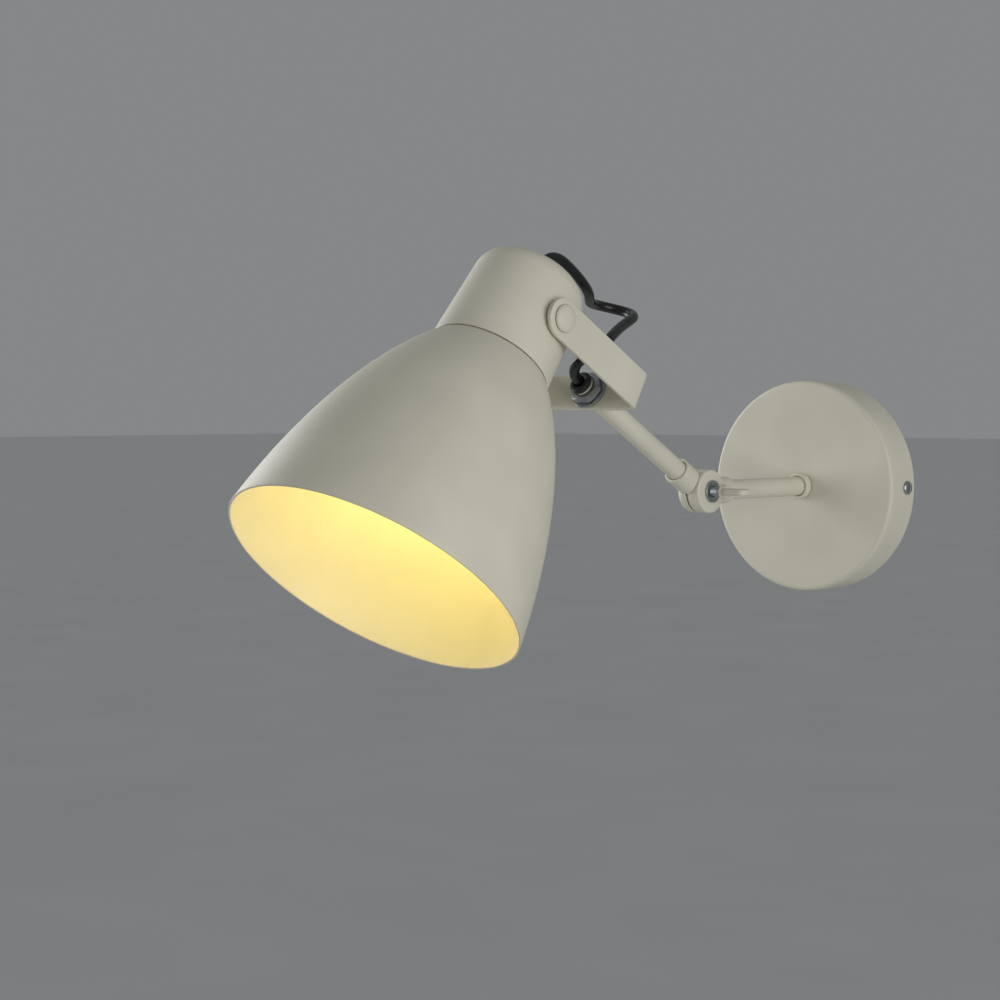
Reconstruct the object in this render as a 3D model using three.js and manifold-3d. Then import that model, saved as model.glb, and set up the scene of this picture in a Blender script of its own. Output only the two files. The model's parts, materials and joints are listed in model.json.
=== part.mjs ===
// Swing arm wall sconce: a round canopy on a wall strap, a stem, a clamped knuckle, an arm,
// a yoke and a bell shade on a cylindrical cap, with a loop of cord from the arm to the cap.
//
// Millimetres. The wall is the plane y = 0, the lamp reaches out along -Y, +Z is up.
// The origin is the middle of the strap's back face. "Reach" is a distance outward, along the
// piece's own -Y axis, and every turned piece is drawn as [radius, reach] points.
import * as THREE from "three";
import { mergeVertices } from "three/addons/utils/BufferGeometryUtils.js";
import Module from "manifold-3d";

const wasm = await Module();
wasm.setup();

// ---------------------------------------------------------------- driving sizes

const gap = 0.3; // clearance between neighbours, and of a rod in its hole
const facets = { small: 12, medium: 20, large: 40 };

const strap = { width: 18, thickness: 2, lugHeight: 12, lugThickness: 2.5 };
const wallSlot = { length: 12, width: 5, offset: 38 };
const wallCableHole = { radius: 5.5, offset: 15 };
const earthScrew = { radius: 2, headRadius: 4, headHeight: 2.4, offset: 26 };

const canopy = { radius: 55, depth: 21.5, wall: 1.2, edge: 2.2 };
const canopyScrew = { radius: 2, headRadius: 3.5, headHeight: 1.4, inset: 7 };
const terminal = { length: 17, width: 16, height: 9, corner: 1.5, offset: 17.5 };
const terminalWell = { radius: 2, depth: 4.5, spacing: 5 };

const tube = { radius: 5, bore: 4 }; // stem, arm and their M10 threads
const tubeNut = { acrossFlats: 14, height: 4 };
const tubeWasher = { radius: 9, thickness: 1 };
const stemLength = 110; // wall to the knuckle's axis
const stemTail = 3; // stem left inside the canopy past its nut
const stemCollar = { radius: 6.7, height: 4, chamfer: 0.8 };

const knuckle = {
  radius: 10.7,
  halfWidth: 7.6, // from the middle to each outer face
  farRound: 5.6, // rounding of the far half's outer face
  nearRound: 1.2,
  clearance: 0.5, // between one half's drum and the other half's neck
};
const socket = { radius: 6.7, reach: 21.5, depth: 10, chamfer: 0.6 };
const frictionRing = { radius: knuckle.radius - 1.3, thickness: 0.8 };
const clampScrew = { radius: 2.5, floor: 2, end: 15.6, chamfer: 0.5 };
const clampWasher = { radius: 5.5, thickness: 1 };
const wing = { hubRadius: 3.9, hubStart: 14, hubPastScrew: 2 };
const paddle = { start: 15.2, end: 29.5, width: 9, thickness: 3.2, corner: 3 };

const armLength = 95; // knuckle's axis to the yoke's base
const armRise = 30; // degrees above level, at rest

const yoke = { width: 18, thickness: 2, legLength: 64.5, bend: 4 };
const tubeEndPastNut = 1;
const bushing = { radius: 5.6, lip: 2.6, sleeve: 6, chamfer: { radius: 1.2, reach: 1 } };

const pivotScrew = { radius: 3, headRadius: 6.2, headHeight: 2.8 };
const pivotNut = { acrossFlats: 10, height: 4 };
const pivotSpacer = { radius: 6.4, thickness: 0.54 };

const headDrop = 52; // degrees of the head's axis below level, at rest
const cap = { back: 26, rim: 24.7, backRadius: 26.2, rimRadius: 28.3, corner: 10, wall: 1.2 };
const shade = { neck: 25, neckRadius: cap.rimRadius - 0.5, mouth: 140, mouthRadius: 67.3, wall: 1 };
const shadeShoulder = { radius: 48.2, reach: 26.2 }; // control points of the bell's curve,
const shadeFlank = { radius: 62.1, reach: 44.9 }; // measured from the neck and from the mouth

const nipple = { radius: 5, bore: 3.2, outside: 3, inside: 10.5 };
const nippleNutHeight = 3;
const gland = { radius: 6, height: 4.6, straight: 2.07, noseRadius: 4.4 };
const holderDome = { radius: 17, top: 17, base: 2.7, wall: 1.6, round: 5 };
const holderSkirt = { radius: 19.6, bore: 13.8, start: 3, end: 40, flangeRadius: 24, flange: 2.4 };
const holderCore = { radius: 16.4, height: 9 };
const holderRing = { radius: 26, height: 5 };
const contact = { width: 6, length: 18, thickness: 0.6, rise: 1.5, buttonRadius: 2.6 };

const bulb = {
  capRadius: 13.2,
  capWall: 0.8,
  capLength: 26,
  capChamfer: 4,
  globeRadius: 22.5,
  glass: 1.4,
  neckRadius: 11.5,
  neckLength: 2.5,
};

const cordRadius = 2.4;
const cordSides = 8;
// How the lead turns from the terminal block into the stem's tail.
const leadTurn = { start: 5.5, rise: 0.4, beforeStem: 3.2, straightAfter: 8 };

// The free cord from the gland on the cap to the bushing on the arm, a route chosen by hand for
// these lengths. With other lengths its ends move along with the head and the yoke's base.
const cordLoopDrawnFor = { stemLength: 110, armLength: 95, legLength: 64.5 };
const cordLoopRoute = [
  [0, -228.9, 104.4],
  [0, -225.9, 107.2],
  [0, -222, 108.9],
  [0, -217.7, 109],
  [0, -213.5, 107.6],
  [0, -209, 105],
  [0, -203.5, 101.4],
  [-0.5, -198, 97.6],
  [-2.5, -192.5, 94.4],
  [-6, -187.5, 92.2],
  [-10, -182.6, 91],
  [-13.4, -177.2, 90.4],
  [-14.8, -171.7, 89.8],
  [-13.4, -166.7, 88.9],
  [-9.8, -163, 87.7],
  [-4.9, -161.7, 86.4],
  [0, -163.1, 85],
  [3.7, -166.8, 83.6],
  [6, -172, 82],
  [7.6, -177.6, 80.2],
  [9.2, -183.2, 78.2],
  [11, -188.6, 76.2],
  [12.8, -193.8, 74],
  [14.2, -199, 71.4],
  [14.4, -204, 68.4],
  [12.4, -208, 65.8],
  [8.6, -210.1, 63.2],
  [4.6, -210, 60.3],
  [1.5, -207.5, 57.2],
  [0.1, -204.2, 54.4],
  [0, -202.5, 53.4],
];

// ---------------------------------------------------------------- sizes that follow

const degrees = THREE.MathUtils.degToRad;
const tubeHole = tube.radius + gap;
const canopyInside = canopy.radius - canopy.wall;
const capSlope = (cap.rimRadius - cap.backRadius) / (cap.rim + cap.back - cap.corner);
const capRadiusAtPivot = cap.backRadius + capSlope * (cap.back - cap.corner);
const knuckleSeam = frictionRing.thickness / 2 + gap;
const socketFloor = socket.reach - socket.depth;
const knuckleCordReach = knuckle.radius + knuckle.clearance; // the leads stop outside both drums
const canopyFloor = canopy.depth - canopy.wall; // the front wall's inner face
const shadeHole = holderSkirt.radius + gap + 0.1;
const pivotSpacerFrom = capRadiusAtPivot + capSlope * pivotSpacer.radius + gap;
const yokeInside = pivotSpacerFrom + pivotSpacer.thickness + gap; // the yoke is as wide as the cap needs
const yokeHalfWidth = yokeInside + yoke.thickness;

// ---------------------------------------------------------------- making solids

/** Closed geometry to solid: drops slivers on an axis and turns the faces outward. */
function solid(geometry) {
  const bare = new THREE.BufferGeometry();
  const source = geometry.index ? geometry.toNonIndexed() : geometry;
  bare.setAttribute("position", source.getAttribute("position"));
  const merged = mergeVertices(bare, 1e-4);
  const at = merged.getAttribute("position");
  const corners = [0, 1, 2].map(() => new THREE.Vector3());
  const triangles = [];
  let volume = 0;
  for (let i = 0; i < merged.index.count; i += 3) {
    const [a, b, c] = [0, 1, 2].map((k) => merged.index.getX(i + k));
    if (a === b || b === c || c === a) continue;
    [a, b, c].forEach((vertex, k) => corners[k].fromBufferAttribute(at, vertex));
    volume += corners[0].dot(corners[1].clone().cross(corners[2]));
    triangles.push([a, b, c]);
  }
  if (volume < 0) triangles.forEach((triangle) => triangle.reverse());
  return new wasm.Manifold(
    new wasm.Mesh({
      numProp: 3,
      vertProperties: at.array,
      triVerts: new Uint32Array(triangles.flat()),
    }),
  );
}

/** Solid back to a three.js geometry. */
function geometryOf(manifold) {
  const mesh = manifold.getMesh();
  const geometry = new THREE.BufferGeometry();
  geometry.setAttribute("position", new THREE.BufferAttribute(mesh.vertProperties, 3));
  geometry.setIndex(new THREE.BufferAttribute(mesh.triVerts, 1));
  return geometry;
}

/** Points of a round corner in [radius, reach], from one angle to another, in degrees. */
function corner([centreRadius, centreReach], radius, from, to, steps = 4) {
  return Array.from({ length: steps + 1 }, (_, i) => {
    const angle = degrees(from + ((to - from) * i) / steps);
    return [centreRadius + radius * Math.cos(angle), centreReach + radius * Math.sin(angle)];
  });
}

/** A closed outline of [radius, reach] points turned about the outward axis. */
function turned(outline, count = facets.medium) {
  const points = outline.map(([radius, reach]) => new THREE.Vector2(Math.max(radius, 0), -reach));
  points.push(points[0].clone());
  return solid(new THREE.LatheGeometry(points, count));
}

/** The same, turned about X: reach becomes distance along +X. */
function turnedAcross(outline, count = facets.medium) {
  const points = outline.map(([radius, across]) => new THREE.Vector2(Math.max(radius, 0), -across));
  points.push(points[0].clone());
  return solid(new THREE.LatheGeometry(points, count).rotateZ(Math.PI / 2));
}

function washer(hole, radius, from, to) {
  return [[hole, from], [radius, from], [radius, to], [hole, to]];
}

function rod(radius, from, to) {
  return [[0, from], [radius, from], [radius, to], [0, to]];
}

/** A hexagon prism along the outward axis, with a hole. */
function hexNut(acrossFlats, hole, from, to) {
  const cornerRadius = acrossFlats / Math.sqrt(3);
  const blank = new THREE.CylinderGeometry(cornerRadius, cornerRadius, to - from, 6);
  blank.translate(0, -(from + to) / 2, 0);
  return solid(blank).subtract(turned(rod(hole, from - 1, to + 1)));
}

/** A flat outline of [x, y] points, extruded along Z and centred on it. */
function plate(outline, thickness, curveSegments = 8) {
  const isShape = outline instanceof THREE.Shape;
  const shape = isShape ? outline : new THREE.Shape(outline.map(([x, y]) => new THREE.Vector2(x, y)));
  const geometry = new THREE.ExtrudeGeometry(shape, { depth: thickness, bevelEnabled: false, curveSegments });
  return geometry.translate(0, 0, -thickness / 2);
}

/** A rectangle with round corners. */
function roundedRectangle(width, height, radius) {
  const [x, y] = [width / 2, height / 2];
  const shape = new THREE.Shape();
  shape.moveTo(-x + radius, -y);
  shape.lineTo(x - radius, -y).absarc(x - radius, -y + radius, radius, -Math.PI / 2, 0);
  shape.lineTo(x, y - radius).absarc(x - radius, y - radius, radius, 0, Math.PI / 2);
  shape.lineTo(-x + radius, y).absarc(-x + radius, y - radius, radius, Math.PI / 2, Math.PI);
  shape.lineTo(-x, -y + radius).absarc(-x + radius, -y + radius, radius, Math.PI, 1.5 * Math.PI);
  return shape;
}

/** A round cord along a smooth curve through the points. */
function cordAlong(points, steps) {
  const curve = new THREE.CatmullRomCurve3(points.map((point) => new THREE.Vector3(...point)));
  const section = new THREE.Shape(
    Array.from({ length: cordSides }, (_, i) => {
      const angle = (2 * Math.PI * i) / cordSides;
      return new THREE.Vector2(cordRadius * Math.cos(angle), cordRadius * Math.sin(angle));
    }),
  );
  return solid(new THREE.ExtrudeGeometry(section, { steps, extrudePath: curve, bevelEnabled: false }));
}

// ---------------------------------------------------------------- finishes

function finish(color, roughness, metalness) {
  return new THREE.MeshStandardMaterial({ color, roughness, metalness });
}

const finishes = {
  paint: finish("#c9c5b6", 0.55, 0.1),
  zinc: finish("#b9bcc0", 0.35, 0.9),
  brass: finish("#c6a24f", 0.35, 0.9),
  blackPlastic: finish("#1b1b1c", 0.5, 0),
  whitePlastic: finish("#ecebe6", 0.5, 0),
  ceramic: finish("#f2efe8", 0.4, 0),
  cord: finish("#141415", 0.45, 0),
  glass: finish("#fff4d8", 0.3, 0),
};

/** Adds a named piece to a group. */
function add(group, name, manifold, material) {
  const mesh = new THREE.Mesh(geometryOf(manifold), material);
  mesh.name = name;
  group.add(mesh);
  return mesh;
}

// ---------------------------------------------------------------- wall side

function addWallStrap(group) {
  // The lugs stand just inside the canopy's wall at the strap's corners.
  const lugFace = Math.sqrt((canopyInside - gap) ** 2 - (strap.width / 2) ** 2) - gap;
  const [end, inner] = [lugFace, lugFace - strap.lugThickness];
  const outline = [
    [-end, 0],
    [-end, -strap.lugHeight],
    [-inner, -strap.lugHeight],
    [-inner, -strap.thickness],
    [inner, -strap.thickness],
    [inner, -strap.lugHeight],
    [end, -strap.lugHeight],
    [end, 0],
  ];
  let body = solid(plate(outline, strap.width));
  const through = strap.thickness * 3;
  for (const side of [-1, 1]) {
    const slot = plate(roundedRectangle(wallSlot.length, wallSlot.width, wallSlot.width / 2 - 0.01), through);
    body = body.subtract(solid(slot.rotateX(Math.PI / 2).translate(side * wallSlot.offset, 0, 0)));
  }
  const hole = (radius, offset) => turned(rod(radius, -through, through)).translate([offset, 0, 0]);
  body = body.subtract(hole(wallCableHole.radius, wallCableHole.offset));
  body = body.subtract(hole(earthScrew.radius + gap, earthScrew.offset));
  const lugHole = rod(canopyScrew.radius + gap, -end - 1, end + 1);
  body = body.subtract(turnedAcross(lugHole, facets.small).translate([0, -canopyScrew.inset, 0]));
  add(group, "wall_strap", body, finishes.zinc);
}

function addCanopy(group) {
  const { radius, depth, wall, edge } = canopy;
  const outline = [
    [radius, 0],
    ...corner([radius - edge, depth - edge], edge, 0, 90),
    [tubeHole, depth],
    [tubeHole, depth - wall],
    ...corner([radius - edge, depth - edge], edge - wall, 90, 0),
    [radius - wall, 0],
  ];
  const screwHoles = rod(canopyScrew.radius + gap, -radius - 1, radius + 1);
  const holes = turnedAcross(screwHoles, facets.small).translate([0, -canopyScrew.inset, 0]);
  add(group, "canopy_cover", turned(outline, facets.large).subtract(holes), finishes.paint);
}

function addCanopyScrew(group, name, side) {
  const { radius, headRadius, headHeight, inset } = canopyScrew;
  const face = canopy.radius + gap;
  const tip = canopyInside - strap.lugThickness - 4;
  const outline = [
    [0, tip],
    [radius, tip],
    [radius, face],
    [headRadius, face],
    [headRadius, face + headHeight / 2],
    [headRadius * 0.7, face + headHeight],
    [0, face + headHeight],
  ];
  const slot = new THREE.BoxGeometry(headHeight, headRadius * 3, 0.8).translate(face + headHeight, 0, 0);
  const screw = turnedAcross(outline, facets.small).subtract(solid(slot));
  const mesh = add(group, name, screw, finishes.zinc);
  mesh.position.y = -inset;
  mesh.rotation.y = side < 0 ? Math.PI : 0;
}

function addTerminalBlock(group) {
  const { length, width, height, corner: round, offset } = terminal;
  const from = strap.thickness + gap;
  const block = plate(roundedRectangle(length, width, round), height, 3).rotateX(Math.PI / 2);
  let body = solid(block.translate(-offset, -from - height / 2, 0));
  for (const row of [-1, 0, 1]) {
    const well = rod(terminalWell.radius, from + height - terminalWell.depth, from + height + 1);
    body = body.subtract(turned(well, facets.small).translate([-offset, 0, row * terminalWell.spacing]));
  }
  add(group, "terminal_block", body, finishes.whitePlastic);
}

function addEarthScrew(group) {
  const { radius, headRadius, headHeight, offset } = earthScrew;
  const face = strap.thickness + gap;
  const outline = [[0, gap], [radius, gap], [radius, face], [headRadius, face]];
  outline.push([headRadius, face + headHeight], [0, face + headHeight]);
  const slot = new THREE.BoxGeometry(headRadius * 3, headHeight, 1).translate(0, -face - headHeight, 0);
  const mesh = add(group, "earth_screw", turned(outline, facets.small).subtract(solid(slot)), finishes.brass);
  mesh.position.x = offset;
}

function addStem(group) {
  const washerFrom = canopyFloor - gap - tubeWasher.thickness;
  const nutFrom = washerFrom - gap - tubeNut.height;
  const tail = nutFrom - stemTail;
  const end = stemLength - socketFloor - gap;
  add(group, "stem_tube", turned(washer(tube.bore, tube.radius, tail, end)), finishes.paint);
  const collarFrom = canopy.depth + gap;
  const { radius, height, chamfer } = stemCollar;
  const collar = [[tubeHole, collarFrom], [radius, collarFrom], [radius, collarFrom + height - chamfer]];
  collar.push([radius - chamfer, collarFrom + height], [tubeHole, collarFrom + height]);
  add(group, "stem_collar", turned(collar), finishes.paint);
  const stemWasher = turned(washer(tubeHole, tubeWasher.radius, washerFrom, canopyFloor - gap));
  add(group, "stem_washer", stemWasher, finishes.zinc);
  const nut = hexNut(tubeNut.acrossFlats, tubeHole, nutFrom, nutFrom + tubeNut.height);
  add(group, "stem_nut", nut, finishes.zinc);
  // The lead from the terminal block turns into the stem and runs down it to the knuckle.
  const blockSide = -(terminal.offset - terminal.length / 2) + gap;
  const lead = [
    [blockSide, -leadTurn.start, 0],
    [blockSide * 0.62, -leadTurn.start - leadTurn.rise, 0],
    [blockSide * 0.2, -tail + leadTurn.beforeStem, 0],
    [0, -tail - 1, 0],
    [0, -tail - leadTurn.straightAfter, 0],
    [0, -(tail + end) / 2, 0],
    [0, -stemLength + knuckleCordReach, 0],
  ];
  add(group, "stem_cord", cordAlong(lead, 24), finishes.cord);
}

// ---------------------------------------------------------------- knuckle

/** One half of the knuckle: a drum on the -X side of the seam and a socket outward. */
function knuckleHalf(outerRound, screwHole) {
  const { radius, halfWidth, clearance } = knuckle;
  const drum = [
    [0, -knuckleSeam],
    [radius, -knuckleSeam],
    ...corner([radius - outerRound, -halfWidth + outerRound], outerRound, 0, -90),
    [0, -halfWidth],
  ];
  const otherDrum = rod(radius + clearance, -knuckleSeam, radius * 2);
  const collar = [
    [0, 0],
    [socket.radius, 0],
    [socket.radius, socket.reach - socket.chamfer],
    [socket.radius - socket.chamfer, socket.reach],
    [0, socket.reach],
  ];
  return turnedAcross(drum)
    .add(turned(collar).subtract(turnedAcross(otherDrum)))
    .subtract(turned(rod(tubeHole, socketFloor, socket.reach + 1)))
    .subtract(turned(rod(cordRadius + 2 * gap, frictionRing.radius, socket.reach)))
    .subtract(turnedAcross(rod(clampScrew.radius + gap, screwHole, radius), facets.small));
}

function addKnuckleStemHalf(group) {
  const half = knuckleHalf(knuckle.nearRound, -knuckle.halfWidth - 1);
  const mesh = add(group, "knuckle_stem_half", half, finishes.paint);
  mesh.position.y = -stemLength;
  mesh.rotation.z = Math.PI;
  const halfRing = frictionRing.thickness / 2;
  const ring = washer(clampScrew.radius + gap, frictionRing.radius, -halfRing, halfRing);
  const ringMesh = add(group, "knuckle_friction_ring", turnedAcross(ring), finishes.blackPlastic);
  ringMesh.position.y = -stemLength;
}

function addClamp(group) {
  const floor = -knuckle.halfWidth + clampScrew.floor + gap;
  const { radius, end, chamfer } = clampScrew;
  const screw = [[0, floor], [radius - chamfer, floor], [radius, floor + chamfer], [radius, end], [0, end]];
  add(group, "knuckle_screw", turnedAcross(screw, facets.small), finishes.zinc);
  const washerFrom = knuckle.halfWidth + gap;
  const ring = washer(radius + gap, clampWasher.radius, washerFrom, washerFrom + clampWasher.thickness);
  add(group, "knuckle_washer", turnedAcross(ring), finishes.zinc);
  const bladeOutline = roundedRectangle(paddle.end - paddle.start, paddle.width, paddle.corner);
  const blade = plate(bladeOutline, paddle.thickness, 4);
  blade.translate((paddle.start + paddle.end) / 2, 0, 0);
  const wingBody = solid(blade)
    .add(turnedAcross(rod(wing.hubRadius, wing.hubStart, end + wing.hubPastScrew), facets.small))
    .subtract(turnedAcross(rod(radius + gap, wing.hubStart - 1, end + gap), facets.small));
  add(group, "knuckle_wing", wingBody, finishes.paint);
}

// ---------------------------------------------------------------- arm and yoke

const basePlateEnd = armLength + yoke.thickness;
const yokeWasherFrom = basePlateEnd + gap;
const yokeNutFrom = yokeWasherFrom + tubeWasher.thickness + gap;
const armEnd = yokeNutFrom + tubeNut.height + tubeEndPastNut;
const bushingEnd = armEnd + gap + bushing.lip;

function addArm(group) {
  const half = knuckleHalf(knuckle.farRound, -knuckle.halfWidth + clampScrew.floor);
  add(group, "knuckle_arm_half", half, finishes.paint);
  const start = socketFloor + gap;
  add(group, "arm_tube", turned(washer(tube.bore, tube.radius, start, armEnd)), finishes.paint);
  const leadEnd = armEnd - bushing.sleeve - gap;
  const lead = [knuckleCordReach, (knuckleCordReach + leadEnd) / 2, leadEnd];
  add(group, "arm_cord", cordAlong(lead.map((reach) => [0, -reach, 0]), 14), finishes.cord);
}

/** The strip bent into a U, its base on the arm and its legs out to the pivot. */
function addYoke(group) {
  const { width, thickness, legLength, bend } = yoke;
  const halfWidth = yokeHalfWidth;
  const arcPoints = (radius, from, to, side) =>
    corner([halfWidth - bend, bend], radius, from, to).map(([x, reach]) => [side * x, -reach]);
  const endReach = legLength + width;
  const outline = [
    ...arcPoints(bend, -90, 0, 1),
    [halfWidth, -endReach],
    [halfWidth - thickness, -endReach],
    ...arcPoints(bend - thickness, 0, -90, 1),
    ...arcPoints(bend - thickness, -90, 0, -1),
    [-halfWidth + thickness, -endReach],
    [-halfWidth, -endReach],
    ...arcPoints(bend, 0, -90, -1),
  ];
  // Seen from the side, each leg ends in a half circle round the pivot.
  const side = new THREE.Shape();
  side.moveTo(-width / 2, 1);
  side.lineTo(-width / 2, -legLength);
  side.absarc(0, -legLength, width / 2, Math.PI, 2 * Math.PI);
  side.lineTo(width / 2, 1);
  const trim = solid(plate(side, halfWidth * 3, facets.small).rotateY(Math.PI / 2));
  const pivotHole = rod(pivotScrew.radius + gap, -halfWidth - 1, halfWidth + 1);
  const body = solid(plate(outline, width * 1.2))
    .intersect(trim)
    .subtract(turned(rod(tubeHole, -1, thickness + 1)))
    .subtract(turnedAcross(pivotHole, facets.small).translate([0, -legLength, 0]));
  const mesh = add(group, "yoke_bracket", body, finishes.paint);
  mesh.position.y = -armLength;
  const ring = washer(tubeHole, tubeWasher.radius, yokeWasherFrom, yokeWasherFrom + tubeWasher.thickness);
  add(group, "yoke_washer", turned(ring), finishes.zinc);
  const nut = hexNut(tubeNut.acrossFlats, tubeHole, yokeNutFrom, yokeNutFrom + tubeNut.height);
  add(group, "yoke_nut", nut, finishes.zinc);
}

function addBushing(group) {
  const hole = cordRadius + gap;
  const lipFrom = armEnd + gap;
  const sleeveRadius = tube.bore - gap;
  const outline = [
    [hole, armEnd - bushing.sleeve],
    [sleeveRadius, armEnd - bushing.sleeve],
    [sleeveRadius, lipFrom],
    [bushing.radius, lipFrom],
    [bushing.radius, bushingEnd - bushing.chamfer.reach],
    [bushing.radius - bushing.chamfer.radius, bushingEnd],
    [hole, bushingEnd],
  ];
  add(group, "cord_bushing", turned(outline), finishes.blackPlastic);
}

// ---------------------------------------------------------------- head

function addPivotSide(group, sideName, side) {
  const place = (mesh) => {
    mesh.rotation.y = side < 0 ? Math.PI : 0;
  };
  const { radius, headRadius, headHeight } = pivotScrew;
  // Both the spacer and the nut clear the curved wall of the cap over their whole width.
  const nutRadius = pivotNut.acrossFlats / Math.sqrt(3);
  const wallInside = Math.sqrt((capRadiusAtPivot - cap.wall) ** 2 - nutRadius ** 2);
  const nutTo = wallInside - 2 * gap;
  const nutFrom = nutTo - pivotNut.height;
  const headFrom = yokeHalfWidth + gap;
  // The head is a quarter circle squashed to its height.
  const dome = corner([0, 0], 1, 15, 90, 5).map(([x, y]) => [headRadius * x, headFrom + headHeight * y]);
  const tip = nutFrom - 1;
  const screw = [[0, tip], [radius, tip], [radius, headFrom], [headRadius, headFrom], ...dome];
  place(add(group, `pivot_screw_${sideName}`, turnedAcross(screw, facets.medium), finishes.paint));
  const spacer = washer(radius + gap, pivotSpacer.radius, pivotSpacerFrom, yokeInside - gap);
  place(add(group, `pivot_spacer_${sideName}`, turnedAcross(spacer, facets.medium), finishes.blackPlastic));
  const nut = hexNut(pivotNut.acrossFlats, radius + gap, -nutTo, -nutFrom).rotate([0, 0, 90]);
  place(add(group, `pivot_nut_${sideName}`, nut, finishes.zinc));
}

function addCap(group) {
  const { back, rim, backRadius, rimRadius, corner: round, wall } = cap;
  const hole = nipple.radius + gap;
  const outline = [
    [hole, -back],
    ...corner([backRadius - round, -back + round], round, -90, 0, 5),
    [rimRadius, rim],
    [rimRadius - wall, rim],
    ...corner([backRadius - round, -back + round], round - wall, 0, -90, 5),
    [hole, -back + wall],
  ];
  const pivotHoles = rod(pivotScrew.radius + gap, -rimRadius - 1, rimRadius + 1);
  const body = turned(outline, facets.large).subtract(turnedAcross(pivotHoles, facets.small));
  add(group, "lampholder_cap", body, finishes.paint);
}

function addGland(group) {
  const face = cap.back + gap;
  const end = -face - gland.height;
  const hole = cordRadius + gap;
  const nippleTop = -cap.back - nipple.outside;
  const outline = [
    [nipple.radius + gap, -face],
    [gland.radius, -face],
    [gland.radius, -face - gland.straight],
    [gland.noseRadius, end],
    [hole, end],
    [hole, nippleTop - gap],
    [nipple.radius + gap, nippleTop - gap],
  ];
  add(group, "cord_gland", turned(outline), finishes.blackPlastic);
  const nippleEnd = -cap.back + nipple.inside;
  add(group, "cap_nipple", turned(washer(nipple.bore, nipple.radius, nippleTop, nippleEnd)), finishes.zinc);
  const nutFrom = -cap.back + cap.wall + gap;
  const nut = hexNut(tubeNut.acrossFlats, nipple.radius + gap, nutFrom, nutFrom + nippleNutHeight);
  add(group, "nipple_nut", nut, finishes.zinc);
  // The lead runs from the free cord's end, through the nipple, to the lampholder's core.
  const [leadStart, leadEnd] = [end + gap, holderSkirt.start - 3 * gap];
  const lead = [leadStart, (leadStart + leadEnd) / 2, leadEnd];
  add(group, "cap_cord", cordAlong(lead.map((reach) => [0, -reach, 0]), 8), finishes.cord);
}

function addLampholder(group) {
  const { radius, top, base, wall, round } = holderDome;
  const hole = nipple.radius + gap;
  const dome = [
    [hole, -top],
    ...corner([radius - round, -top + round], round, -90, 0),
    [radius, base],
    [radius - wall, base],
    ...corner([radius - round, -top + round], round - wall, 0, -90),
    [hole, -top + wall],
  ];
  add(group, "lampholder_dome", turned(dome), finishes.whitePlastic);
  const coreTop = holderSkirt.start + holderCore.height;
  add(group, "lampholder_core", turned(rod(holderCore.radius, holderSkirt.start, coreTop)), finishes.ceramic);
  const skirt = holderSkirt;
  const flangeTo = shade.neck - gap;
  const outline = [
    [holderCore.radius + gap, skirt.start],
    [skirt.radius, skirt.start],
    [skirt.radius, flangeTo - skirt.flange],
    [skirt.flangeRadius, flangeTo - skirt.flange],
    [skirt.flangeRadius, flangeTo],
    [skirt.radius, flangeTo],
    [skirt.radius, skirt.end],
    [skirt.bore, skirt.end],
    [skirt.bore, coreTop + gap],
    [holderCore.radius + gap, coreTop + gap],
  ];
  add(group, "lampholder_skirt", turned(outline), finishes.whitePlastic);
  const ringFrom = shade.neck + shade.wall + gap;
  const ring = washer(skirt.radius + gap, holderRing.radius, ringFrom, ringFrom + holderRing.height);
  add(group, "lampholder_ring", turned(ring), finishes.whitePlastic);
  const spring = new THREE.BoxGeometry(contact.width, contact.thickness, contact.length);
  const tongue = solid(spring.translate(0, -coreTop - gap - contact.thickness / 2, 0));
  const button = turned(rod(contact.buttonRadius, coreTop + gap, coreTop + gap + contact.rise), facets.small);
  add(group, "centre_contact", tongue.add(button), finishes.brass);
}

/** The bell's outer curve as [radius, reach] points, with its unit normals. */
function bellCurve(steps) {
  const curve = new THREE.CubicBezierCurve(
    new THREE.Vector2(shade.neckRadius, shade.neck),
    new THREE.Vector2(shadeShoulder.radius, shade.neck + shadeShoulder.reach),
    new THREE.Vector2(shadeFlank.radius, shade.mouth - shadeFlank.reach),
    new THREE.Vector2(shade.mouthRadius, shade.mouth),
  );
  return Array.from({ length: steps + 1 }, (_, i) => {
    const point = curve.getPoint(i / steps);
    const tangent = curve.getTangent(i / steps);
    return { outer: [point.x, point.y], normal: [tangent.y, -tangent.x] };
  });
}

function addShade(group) {
  const bell = bellCurve(12);
  const outer = bell.map(({ outer: point }) => point);
  const inner = bell.map(({ outer: [radius, reach], normal }) => [
    radius - shade.wall * normal[0],
    Math.min(Math.max(reach - shade.wall * normal[1], shade.neck + shade.wall), shade.mouth),
  ]);
  const [top, underTop] = [shade.neck, shade.neck + shade.wall];
  const outline = [[shadeHole, top], ...outer, ...inner.reverse(), [shadeHole, underTop]];
  add(group, "shade", turned(outline, facets.large), finishes.paint);
}

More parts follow.
